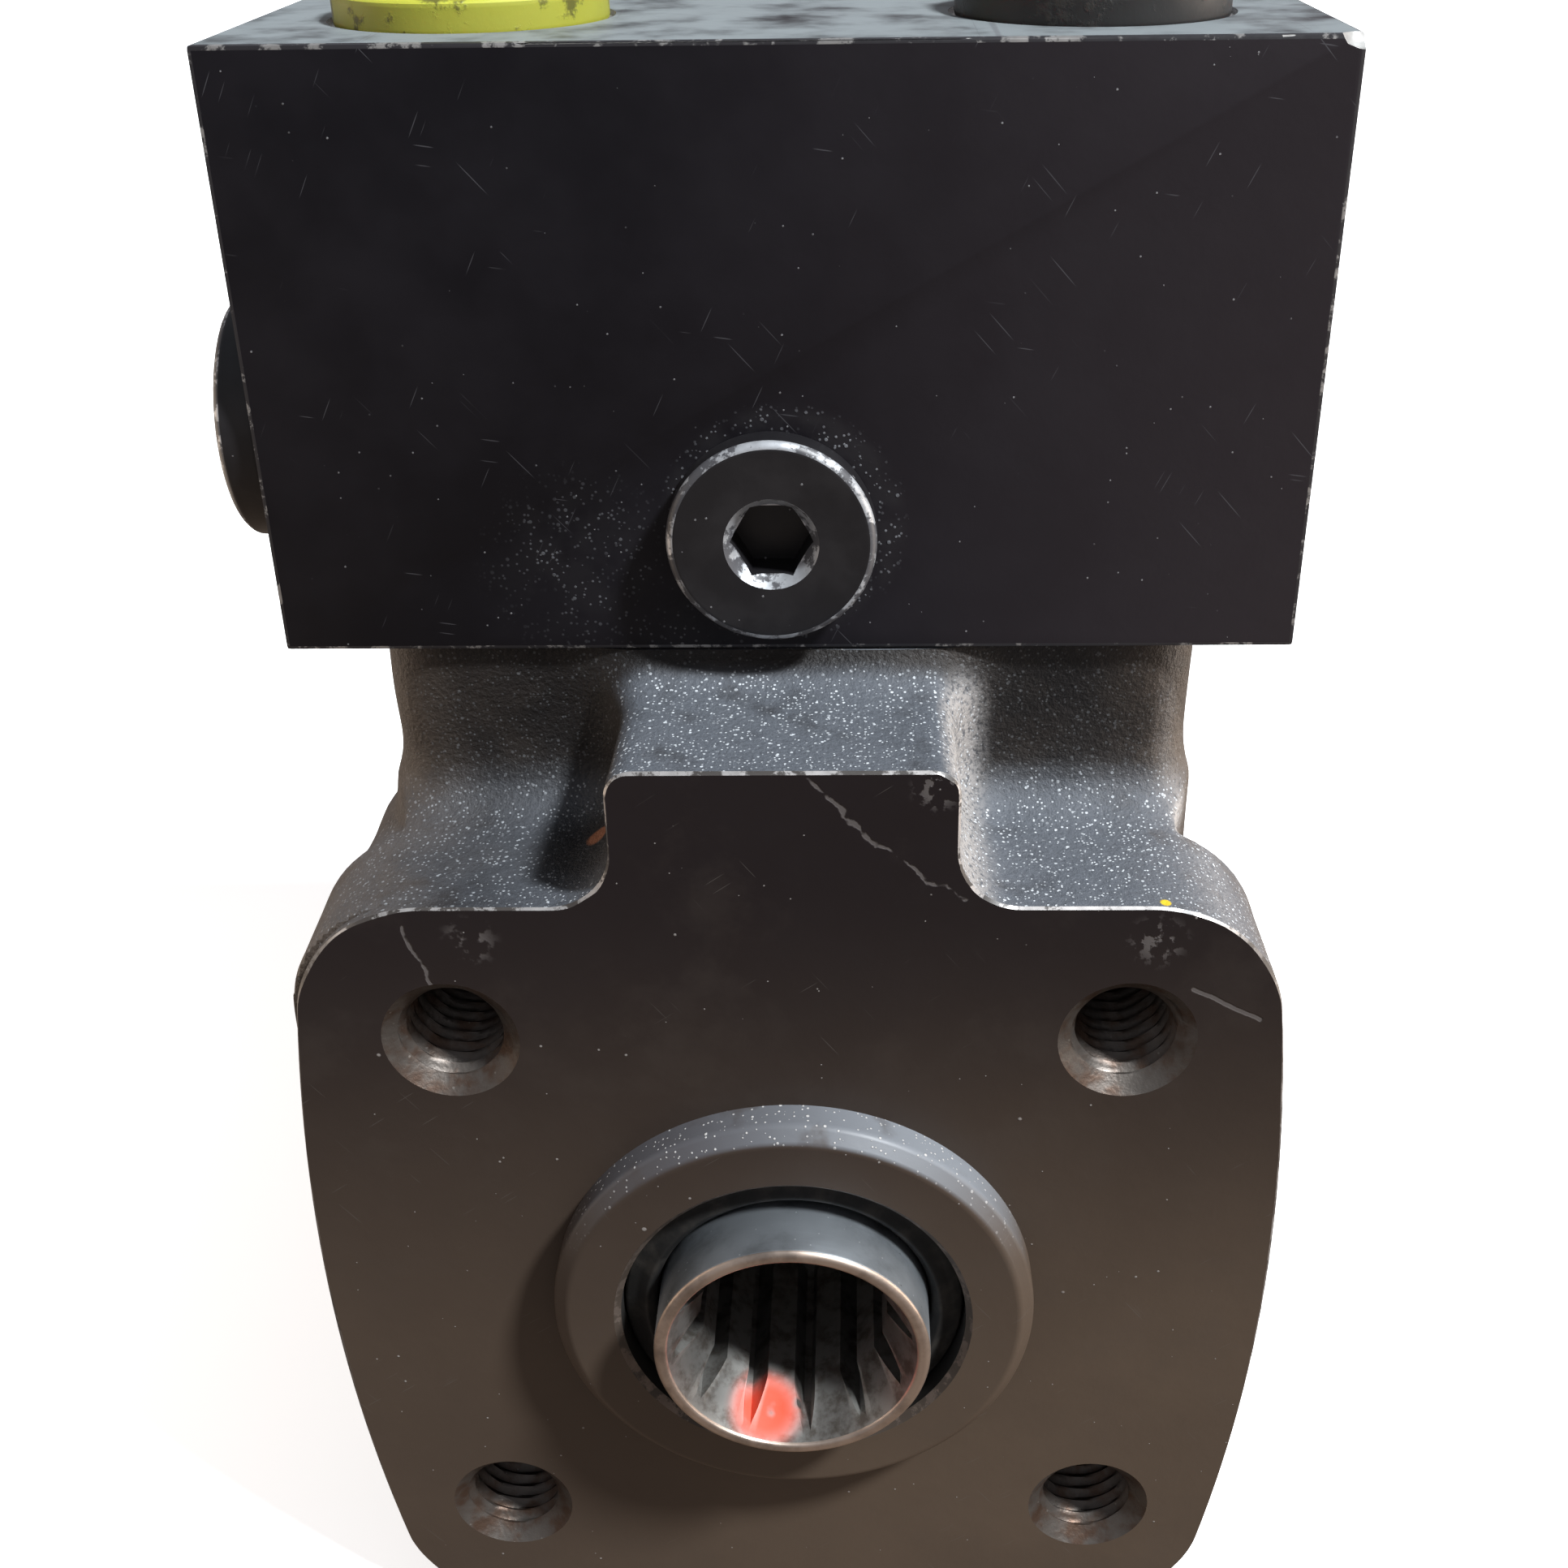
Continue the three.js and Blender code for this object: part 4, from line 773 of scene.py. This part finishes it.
def cast_body(step):
    """The casting's outside as one closed mesh."""
    low, high = np.array([-47, -1, -47]), np.array([47, 98, 62])
    x, y, z = (np.arange(a, b, step, dtype=np.float32) for a, b in zip(low, high))
    field = cast_distance(x[:, None, None], y[None, :, None], z[None, None, :])
    grid = openvdb.FloatGrid(3.0)
    grid.copyFromArray(np.ascontiguousarray(field, np.float32))
    points, quads = grid.convertToQuads(isovalue=0.0)
    return make(points * step + low, quads, CAST)


def front_plate():
    """The machined front of the flange, with a narrow worn chamfer round its outline."""
    outline, narrowest, usual, widest = flange_outline(), 0.08, 0.16, 0.3
    rough = np.random.default_rng(11).normal(size=len(outline))
    for _ in range(2):
        rough = (np.roll(rough, 1) + rough + np.roll(rough, -1)) / 2
    width = np.clip(usual + 0.05 * rough, narrowest, widest)
    face, wall = inset(outline, width), inset(outline, -0.04)
    plate = stacked([(0, face), (0.25, wall), (2.2, wall)], FACE, FACE_EDGE, CAST)
    for polygon in plate.polygons:
        centre, normal = polygon.center, polygon.normal
        polygon.material_index = 0 if normal.y < -0.9 else 1 if normal.y < -0.2 else 2
    return plate


def pilot():
    """The raised register round the shaft."""
    face, bevel = -PILOT_HEIGHT, PILOT_BEVEL
    outline = [(0, 1), (PILOT_R, 1), (PILOT_R, face + bevel), (PILOT_R - bevel, face), (0, face)]
    return turned(outline, FACE, segments=160, ease=0.35)


def thread_cutter(x, z):
    """A threaded hole with a countersunk mouth, as a cutting tool."""
    around = 56
    ys = np.arange(-1, HOLE_DEPTH, THREAD_PITCH / 8)
    angles = np.linspace(0, 2 * math.pi, around, endpoint=False)
    phase = (ys[:, None] / THREAD_PITCH - angles[None, :] / (2 * math.pi)) % 1
    ridge = np.clip(np.abs(phase - 0.5) * 2.5 - 0.15, 0, 1)
    radius = THREAD_MAJOR - (THREAD_MAJOR - THREAD_MINOR) * ridge
    mouth = MOUTH_R - ys[:, None] * (MOUTH_R - THREAD_MINOR) / 1.5
    radius = np.maximum(radius, mouth)
    vertices = [(x + r * math.cos(a), y, z + r * math.sin(a))
                for y, row in zip(ys, radius) for r, a in zip(row, angles)]
    vertices += [(x, ys[0], z), (x, HOLE_DEPTH + 2.4, z)]
    tips, last = (len(vertices) - 2, len(vertices) - 1), (len(ys) - 1) * around
    faces = []
    for i in range(around):
        j = (i + 1) % around
        faces += [[tips[0], i, j], [tips[1], last + j, last + i]]
        faces += [[k + i, k + around + i, k + around + j, k + j] for k in range(0, last, around)]
    return make(vertices, faces, THREAD)


def valve_bore():
    """The stepped bore that holds the seals, the bearing and the sleeve, as a cutting tool."""
    seal_seat, groove_start, groove_end, groove_r, land = 2.8, 6, 10.5, 16.2, 20
    edge, grooves = -PILOT_HEIGHT - 2, []
    for station in VALVE_STATIONS:
        start, end, deep = station - 3, station + 3, VALVE_BORE + 1.5
        grooves += [(VALVE_BORE, start), (deep, start), (deep, end), (VALVE_BORE, end)]
    back = HOUSING_HIGH.y + 3
    outline = [(0, edge), (PILOT_BORE_R + 2.6, edge), (PILOT_BORE_R, edge + 2.6), (PILOT_BORE_R, seal_seat),
               (JOURNAL_BORE, seal_seat), (JOURNAL_BORE, groove_start), (groove_r, groove_start),
               (groove_r, groove_end), (JOURNAL_BORE, groove_end), (JOURNAL_BORE, land),
               (VALVE_BORE, land), *grooves, (VALVE_BORE, back), (0, back)]
    tool = turned(outline, BORE, BORE_EDGE, segments=128)
    for polygon in tool.polygons:
        polygon.material_index = int(polygon.center.y < -PILOT_HEIGHT)
    return tool


def pin_angle(i):
    return math.pi / 2 + i * 2 * math.pi / PINS


def screw_places():
    return [(SCREW_CIRCLE * math.cos(pin_angle(i + 0.5)), SCREW_CIRCLE * math.sin(pin_angle(i + 0.5)))
            for i in range(PINS)]


def screw_holes(y0, y1, material, radius=SCREW_HOLE):
    return joined([bar((x, y0, z), (x, y1, z), radius, material) for x, z in screw_places()])


def block_bolt_places():
    return [middle(f"block_screw_{i + 1}") for i in range(4)]


def housing():
    body = combine(cast_body(0.62), front_plate(), pilot(), operation="UNION")
    trim = box((-60, -20, -60), (60, HOUSING_HIGH.y, HOUSING_HIGH.z), FACE)
    body = combine(body, trim, operation="INTERSECT")
    top = HOUSING_HIGH.z + 2
    holes = [thread_cutter(x, z) for x, z in MOUNT_HOLES]
    upright = [bar((x, y, 10), (x, y, top), 4, BORE) for x in (-12, 12) for y in VALVE_STATIONS]
    bolts = [bar((p.x, p.y, limits("block_screw_1")[0].z - 2), (p.x, p.y, top), 4.3, THREAD)
             for p in block_bolt_places()]
    rear = screw_holes(78, HOUSING_HIGH.y + 3, THREAD)
    body = combine(body, joined(holes), valve_bore(), joined(upright + bolts), rear)
    return piece("housing_casting", body, "housing", "cast_body", "housing", sharp=32)


# ---------------------------------------------------------------- port block
def bevelled_box(low, high, width, faces_material, edge_material):
    """A box with narrow bevels, which get the edge material."""
    mesh = box(low, high, faces_material, edge_material)
    work = bmesh.new()
    work.from_mesh(mesh)
    bmesh.ops.bevel(work, geom=work.edges[:], offset=width, segments=2, profile=0.6,
                    affect="EDGES", material=1, clamp_overlap=True)
    work.to_mesh(mesh)
    work.free()
    return mesh


def pebble(at, size, rng, material):
    """A small irregular lump, for chipping an edge."""
    work = bmesh.new()
    bmesh.ops.create_icosphere(work, subdivisions=2, radius=1)
    for vertex in work.verts:
        vertex.co *= rng.uniform(0.75, 1.1)
        vertex.co = Vector(at) + Vector(c * s for c, s in zip(vertex.co, size))
    mesh = settled_mesh(work, "pebble")
    mesh.materials.append(material)
    return mesh


def edge_nicks():
    """Scattered knocks along the block's front edges, and the chipped upper right corner."""
    rng = random.Random(7)
    low, high = BLOCK_LOW, BLOCK_HIGH
    nicks = []
    for _ in range(13):
        size = (rng.uniform(0.3, 1.6), rng.uniform(0.2, 0.34), rng.uniform(0.2, 0.34))
        at = (rng.uniform(low.x + 2, high.x - 5), low.y - 0.08, high.z + 0.08)
        nicks.append(pebble(at, size, rng, BARE_METAL))
    for _ in range(8):
        size = (rng.uniform(0.15, 0.3), rng.uniform(0.15, 0.3), rng.uniform(0.3, 1.8))
        at = (rng.choice((low.x - 0.1, high.x + 0.1)), low.y - 0.1, rng.uniform(low.z + 3, high.z - 4))
        nicks.append(pebble(at, size, rng, BARE_METAL))
    corner = pebble((high.x + 0.5, low.y - 0.2, high.z + 0.2), (2.4, 1.6, 2.0), rng, BARE_METAL)
    return joined(nicks), corner


def port_places():
    return [middle(name) for name in PORT_CAPS]


def cap_seat():
    """Height of the spot faces, just under the caps' flanges."""
    return limits("tank_port_cap")[1].z - CAP_CROWN - 0.05


def drilled(places, bottom, top, radius, material, segments=32):
    """Upright round holes, as one cutting tool."""
    return joined([bar((p.x, p.y, bottom), (p.x, p.y, top), radius, material, segments=segments)
                   for p in places])


def plug_hole(mouth, bore, shelf, depth):
    """A counterbored hole along Y, as a cutting tool."""
    return turned([(0, -1), (mouth, -1), (mouth, shelf), (bore, shelf), (bore, depth), (0, depth)], BORE)


def port_block():
    low, high, plug, side = BLOCK_LOW, BLOCK_HIGH, PLUG, middle("side_port_plug")
    body = bevelled_box(low, high, 0.38, BLOCK_PAINT, BLOCK_EDGE)
    ports, bolts, above = port_places(), block_bolt_places(), high.z + 1
    thread_end, head_seat = high.z - 16, high.z - 8
    tools = [
        drilled(ports, cap_seat(), above, CAP_FLANGE_R + 0.5, GROUND, 64),
        drilled(ports, thread_end, above, 10.2, THREAD, 64),
        drilled(ports, 77.8, thread_end + 1, 6.2, BORE),
        drilled(bolts, low.z - 1, head_seat, 4.5, BORE),
        drilled(bolts, 98.6, above, 6.9, BLOCK_PAINT, 64),
        moved(plug_hole(8.4, 7, 2.4, 31), (plug.x, low.y, plug.z)),
        moved(plug_hole(9.2, 7.7, 2.2, 14), (low.x, side.y, side.z), -90, "Z"),
    ]
    body = combine(body, *tools, *edge_nicks())
    return piece("port_block_machined", body, "housing", "block_paint", "port_block", sharp=25)


# ---------------------------------------------------------------- plugs, screws and caps
def socket_head(outline, hexagon_size, depth, *materials, ease=0.3):
    """A turned body whose front face, at the outline's lowest y, has a hexagon socket."""
    face = min(y for _, y in outline)
    reach = max(r for r, _ in outline)
    body = turned(outline, *materials, ease=ease)
    for polygon in body.polygons:
        x, y, z = polygon.center
        polygon.material_index = int(y < face + 0.6 and math.hypot(x, z) > reach - 0.55)
    mouth = hexagon_size * 0.66
    cone = turned([(0, face - 1), (mouth + 1, face - 1), (mouth, face), (hexagon_size * 0.52, face + 1.2),
                   (0, face + 1.2)], OXIDE_EDGE)
    socket = prism(hexagon(hexagon_size), face - 1, face + depth, OXIDE)
    return combine(body, cone, socket)


def port_plug(node, head, proud, shank, length, socket, turn=0):
    """A port plug: bevelled head in front of y = 0, with the shank behind it."""
    low, high = limits(node)
    outline = [(0, -proud), (head - 0.5, -proud), (head, -proud + 0.5), (head, -0.05),
               (shank - 0.9, -0.05), (shank - 0.9, 2.6), (shank, 2.6), (shank, length - 1),
               (shank - 1, length), (0, length)]
    mesh = socket_head(outline, socket, length * 0.45, OXIDE, OXIDE_EDGE)
    centre = (low + high) / 2
    at = (low.x + proud, centre.y, centre.z) if turn else (centre.x, low.y + proud, centre.z)
    return piece(node + "_machined", moved(mesh, at, turn, "Z"), "housing", "black_oxide", node)


def block_screws():
    for i, place in enumerate(block_bolt_places()):
        low, high = limits(f"block_screw_{i + 1}")
        head, length = 8, high.z - low.z
        outline = [(0, 0), (5.9, 0), (6.4, 0.5), (6.4, head), (4, head), (4, length - 0.8),
                   (3.4, length), (0, length)]
        mesh = socket_head(outline, 6, 4.5, OXIDE, OXIDE_EDGE)
        mesh = moved(mesh, (place.x, place.y, high.z), -90)
        piece(f"block_screw_{i + 1}_machined", mesh, "housing", "black_oxide", f"block_screw_{i + 1}")


def port_cap(material):
    """A push-in shipping cap, seen from above along -Y: stem in the port, flange, dished crown and rib."""
    outline = [(0, 1.5), (7.9, 1.5), (7.9, 9), (9.2, 9), (9.6, 0.05), (CAP_FLANGE_R, 0.05),
               (CAP_FLANGE_R, -2.6), (9.6, -2.6), (9.0, -CAP_CROWN), (7.6, -CAP_CROWN), (7.4, -1.6),
               (0, -1.6)]
    shell = turned(outline, material, ease=0.45)
    rib = box((-8, -5.9, -1.1), (8, -1, 1.1), material)
    return combine(shell, rib, operation="UNION")


def port_caps():
    for name, place in zip(PORT_CAPS, port_places()):
        yellow = name == "pressure_port_cap"
        mesh = moved(port_cap(YELLOW if yellow else BLACK_CAP), (place.x, place.y, cap_seat() + 0.05), -90)
        piece(name + "_moulded", mesh, "housing", "yellow_plastic" if yellow else "black_plastic", name)


# ---------------------------------------------------------------- shaft end
def spool():
    low, high = limits("spool")
    front, shoulder, rear = low.y, 26, high.y
    outline = [(0, front + 1), (11.2, front + 0.5), (11.4, front), (SHAFT_R - 0.35, front),
               (SHAFT_R, front + 0.35), (SHAFT_R, shoulder), (SPOOL_R, shoulder), (SPOOL_R, rear), (0, rear)]
    blank = turned(outline, JOURNAL, RIM, segments=144, ease=0.25)
    for polygon in blank.polygons:
        polygon.material_index = int(polygon.center.y < front + 0.45)
    socket_r = SPLINE_TIP_R + 0.05
    mouth = turned([(0, front - 1), (11.35, front - 1), (11.25, front + 0.7), (socket_r, -2.6),
                    (socket_r, 16), (0, 19)], SPLINE)
    gaps = toothed(SPLINE_TEETH, SPLINE_TIP_R, SPLINE_ROOT_R, 0.56, 0.12)
    teeth = moved(prism(gaps, front + 0.5, 14, SPLINE), turn=SPLINE_TURN, axis="Y")
    bore = turned([(0, 36), (8.5, 36), (11.5, 39), (11.5, rear + 1), (0, rear + 1)], GROUND)
    slot = box((-16, 28.5, -4), (16, 34.5, 4), GROUND)
    pin = bar((-16, 43, 0), (16, 43, 0), 5.3, GROUND)
    low_slot, high_slot = (13.3, VALVE_STATIONS[0] - 2, -1.6), (16.6, VALVE_STATIONS[1] + 2, 1.6)
    slots = [moved(box(low_slot, high_slot, GROUND), turn=60 * i + 30, axis="Y") for i in range(6)]
    body = combine(blank, mouth, teeth, bore, slot, pin, joined(slots))
    return piece("spool_ground", body, "spool", "worn_steel", "spool")


def dust_seal():
    outline = [(12.7, -1.2), (12.9, -1.9), (13.6, -2.6), (14.6, -1.9), (15.7, -1.5), (15.7, 2.5), (13.2, 2.5),
               (12.7, -1.2)]
    piece("dust_seal_lip", turned(outline, RUBBER, ease=0.25), "housing", "rubber", "dust_seal")


# ---------------------------------------------------------------- rear plates and screws
def plates():
    low, high = limits("spacer_plate")
    spacer = disc(high.x, 12, low.y, high.y, PLATE, segments=160, ease=0.3)
    spacer = combine(spacer, screw_holes(low.y - 1, high.y + 1, BORE))
    piece("spacer_plate_ground", spacer, "housing", "bright_steel", "spacer_plate")
    low, high = limits("gerotor_ring")
    ring = disc(high.x, 0, low.y, high.y, WORN, segments=160, ease=0.5)
    cavity = prism(lobed_cavity(), low.y - 1, high.y + 1, GROUND)
    ring = combine(ring, cavity, screw_holes(low.y - 1, high.y + 1, BORE))
    piece("gerotor_ring_ground", ring, "housing", "worn_steel", "gerotor_ring")
    low, high = limits("end_cap")
    r = high.x
    outline = [(0, low.y), (r, low.y), (r, high.y - 2), (r - 2, high.y), (30, high.y), (28, high.y - 2.5),
               (0, high.y - 2.5)]
    cap = combine(turned(outline, FACE, segments=160, ease=0.5), screw_holes(low.y - 1, high.y + 1, BORE))
    piece("end_cap_machined", cap, "housing", "cast_body", "end_cap")


def lobed_cavity():
    """The inside of the gerotor ring: a round bore that its seven pins stand into."""
    root = PIN_CIRCLE - PIN_R + 2 * ECCENTRIC + 0.4
    points = []
    for angle in np.linspace(0, 2 * math.pi, 560, endpoint=False):
        radius = root
        for i in range(PINS):
            spread = angle - pin_angle(i)
            off_line = PIN_CIRCLE * math.sin(spread)
            if math.cos(spread) > 0 and abs(off_line) < PIN_R:
                radius = min(radius, PIN_CIRCLE * math.cos(spread) - math.sqrt(PIN_R**2 - off_line**2))
        points.append((radius * math.cos(angle), radius * math.sin(angle)))
    return points


def end_screws():
    for i, (x, z) in enumerate(screw_places()):
        low, high = limits(f"end_cap_screw_{i + 1}")
        seat, top = high.y - 5.6, high.y
        under = seat - 0.02
        shank = turned([(0, low.y), (3.2, low.y), (4, low.y + 0.8), (4, under), (0, under)], OXIDE)
        washer = disc(7, 0, seat, seat + 1.2, OXIDE, segments=64, ease=0.25)
        head = prism(hexagon(13), seat + 1.2, top, OXIDE)
        crown = turned([(0, seat), (9, seat), (9, top - 1.1), (6.4, top), (0, top)], OXIDE, segments=64)
        head = combine(head, crown, operation="INTERSECT")
        screw = combine(washer, moved(head, (0, -0.01, 0), 30 + 17 * i, "Y"), shank, operation="UNION")
        piece(f"end_cap_screw_{i + 1}_forged", moved(screw, (x, 0, z)), "housing", "black_oxide",
              f"end_cap_screw_{i + 1}")


# ---------------------------------------------------------------- parts inside
def finish_inside():
    """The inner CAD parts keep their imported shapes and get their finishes."""
    finishes = (
        (RUBBER, ("oring", "shaft_seal")),
        (GROUND, ("relief_valve_seat", "relief_poppet", "check", "ball_stop", "thrust_race", "sleeve",
                  "cross_pin")),
        (BRASS, ("needle_cage",)),
        (SPRING_STEEL, ("relief_spring", "leaf", "retaining_ring")),
        (WORN, ("drive_shaft", "gerotor_star", "drive_spacer")),
    )
    for material, words in finishes:
        for name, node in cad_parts.items():
            if any(word in name for word in words):
                for slot in node.material_slots:
                    slot.material = material


# ---------------------------------------------------------------- stage
def area_light(name, at, target, size, power, colour):
    light = bpy.data.lights.new(name, "AREA")
    light.size, light.energy, light.color = size * MM, power, colour
    obj = placed(name, light)
    obj.location = ORIGIN + Vector(at) * MM
    obj.rotation_euler = (Vector(target) - Vector(at)).to_track_quat("-Z", "Y").to_euler()


def side_lights():
    """Warm light from low on both sides, which picks out the rounded edges of the neck."""
    area_light("left", (-190, 40, 40), (-30, 25, 45), 160, 0.16, (1.0, 0.80, 0.62))
    area_light("right", (190, 40, 40), (30, 25, 45), 160, 0.42, (1.0, 0.86, 0.74))


def key_light():
    sun = bpy.data.lights.new("key", "SUN")
    sun.energy, sun.angle, sun.color = 6.8, math.radians(7), (0.93, 0.97, 1.0)
    placed("key", sun).rotation_euler = Vector((-5.5, 3.1, -8)).to_track_quat("-Z", "Y").to_euler()


def surroundings():
    """A pale room: cool above, dim and warm below, and plain white where the camera sees it."""
    world = bpy.data.worlds.new("room")
    scene.world = world
    world.use_nodes = True
    nodes, links = world.node_tree.nodes, world.node_tree.links
    background = nodes["Background"]
    parts = nodes.new("ShaderNodeSeparateXYZ")
    links.new(nodes.new("ShaderNodeTexCoord").outputs["Generated"], parts.inputs[0])
    ramp = nodes.new("ShaderNodeValToRGB")
    share = nodes.new("ShaderNodeMapRange")
    share.inputs["From Min"].default_value = -1
    links.new(parts.outputs[2], share.inputs["Value"])
    links.new(share.outputs[0], ramp.inputs[0])
    ramp.color_ramp.elements[0].color = (0.30, 0.22, 0.16, 1)
    ramp.color_ramp.elements[1].color = (0.32, 0.345, 0.39, 1)
    seen, mix = nodes.new("ShaderNodeLightPath"), nodes.new("ShaderNodeMix")
    mix.data_type = "RGBA"
    links.new(seen.outputs["Is Camera Ray"], mix.inputs[0])
    links.new(ramp.outputs[0], mix.inputs[6])
    mix.inputs[7].default_value = (1, 1, 1, 1)
    links.new(mix.outputs[2], background.inputs[0])


def floor():
    work = bmesh.new()
    bmesh.ops.create_grid(work, x_segments=8, y_segments=8, size=4)
    mesh = settled_mesh(work, "floor")
    obj = placed("floor", mesh)
    pale = Finish("pale_floor", Roughness=0.9, Specular_IOR_Level=0.1, Emission_Color=(1, 1, 1, 1),
                  Emission_Strength=0.6)
    pale.base(pale.noise(40), (0.90, 0.90, 0.90), (0.93, 0.93, 0.93))
    mesh.materials.append(pale.done())
    obj.visible_glossy = obj.visible_diffuse = False


def camera():
    """Looks down along +Y at the flange from the front."""
    lens = bpy.data.cameras.new("camera")
    lens.sensor_width, lens.lens = 36, 41.64
    lens.shift_x, lens.shift_y = -0.0242, -0.0052
    lens.clip_start = 0.01
    obj = placed("camera", lens)
    tilt = Euler([math.radians(a) for a in (-28.79, 0.65, 0.82)]).to_matrix().to_4x4()
    place = Matrix.Translation(ORIGIN + Vector((5.8, -125.88, 124.41)) * MM)
    obj.matrix_world = place @ tilt @ Matrix.Rotation(math.radians(90), 4, "X")
    scene.camera = obj


camera()
surroundings()
key_light()
side_lights()
floor()
housing()
port_block()
port_plug("front_port_plug", head=8.75, proud=3.1, shank=6.85, length=10, socket=6)
port_plug("side_port_plug", head=10.4, proud=3.4, shank=7.4, length=12, socket=8, turn=-90)
block_screws()
port_caps()
spool()
dust_seal()
plates()
end_screws()
finish_inside()

scene.view_settings.view_transform = "Standard"
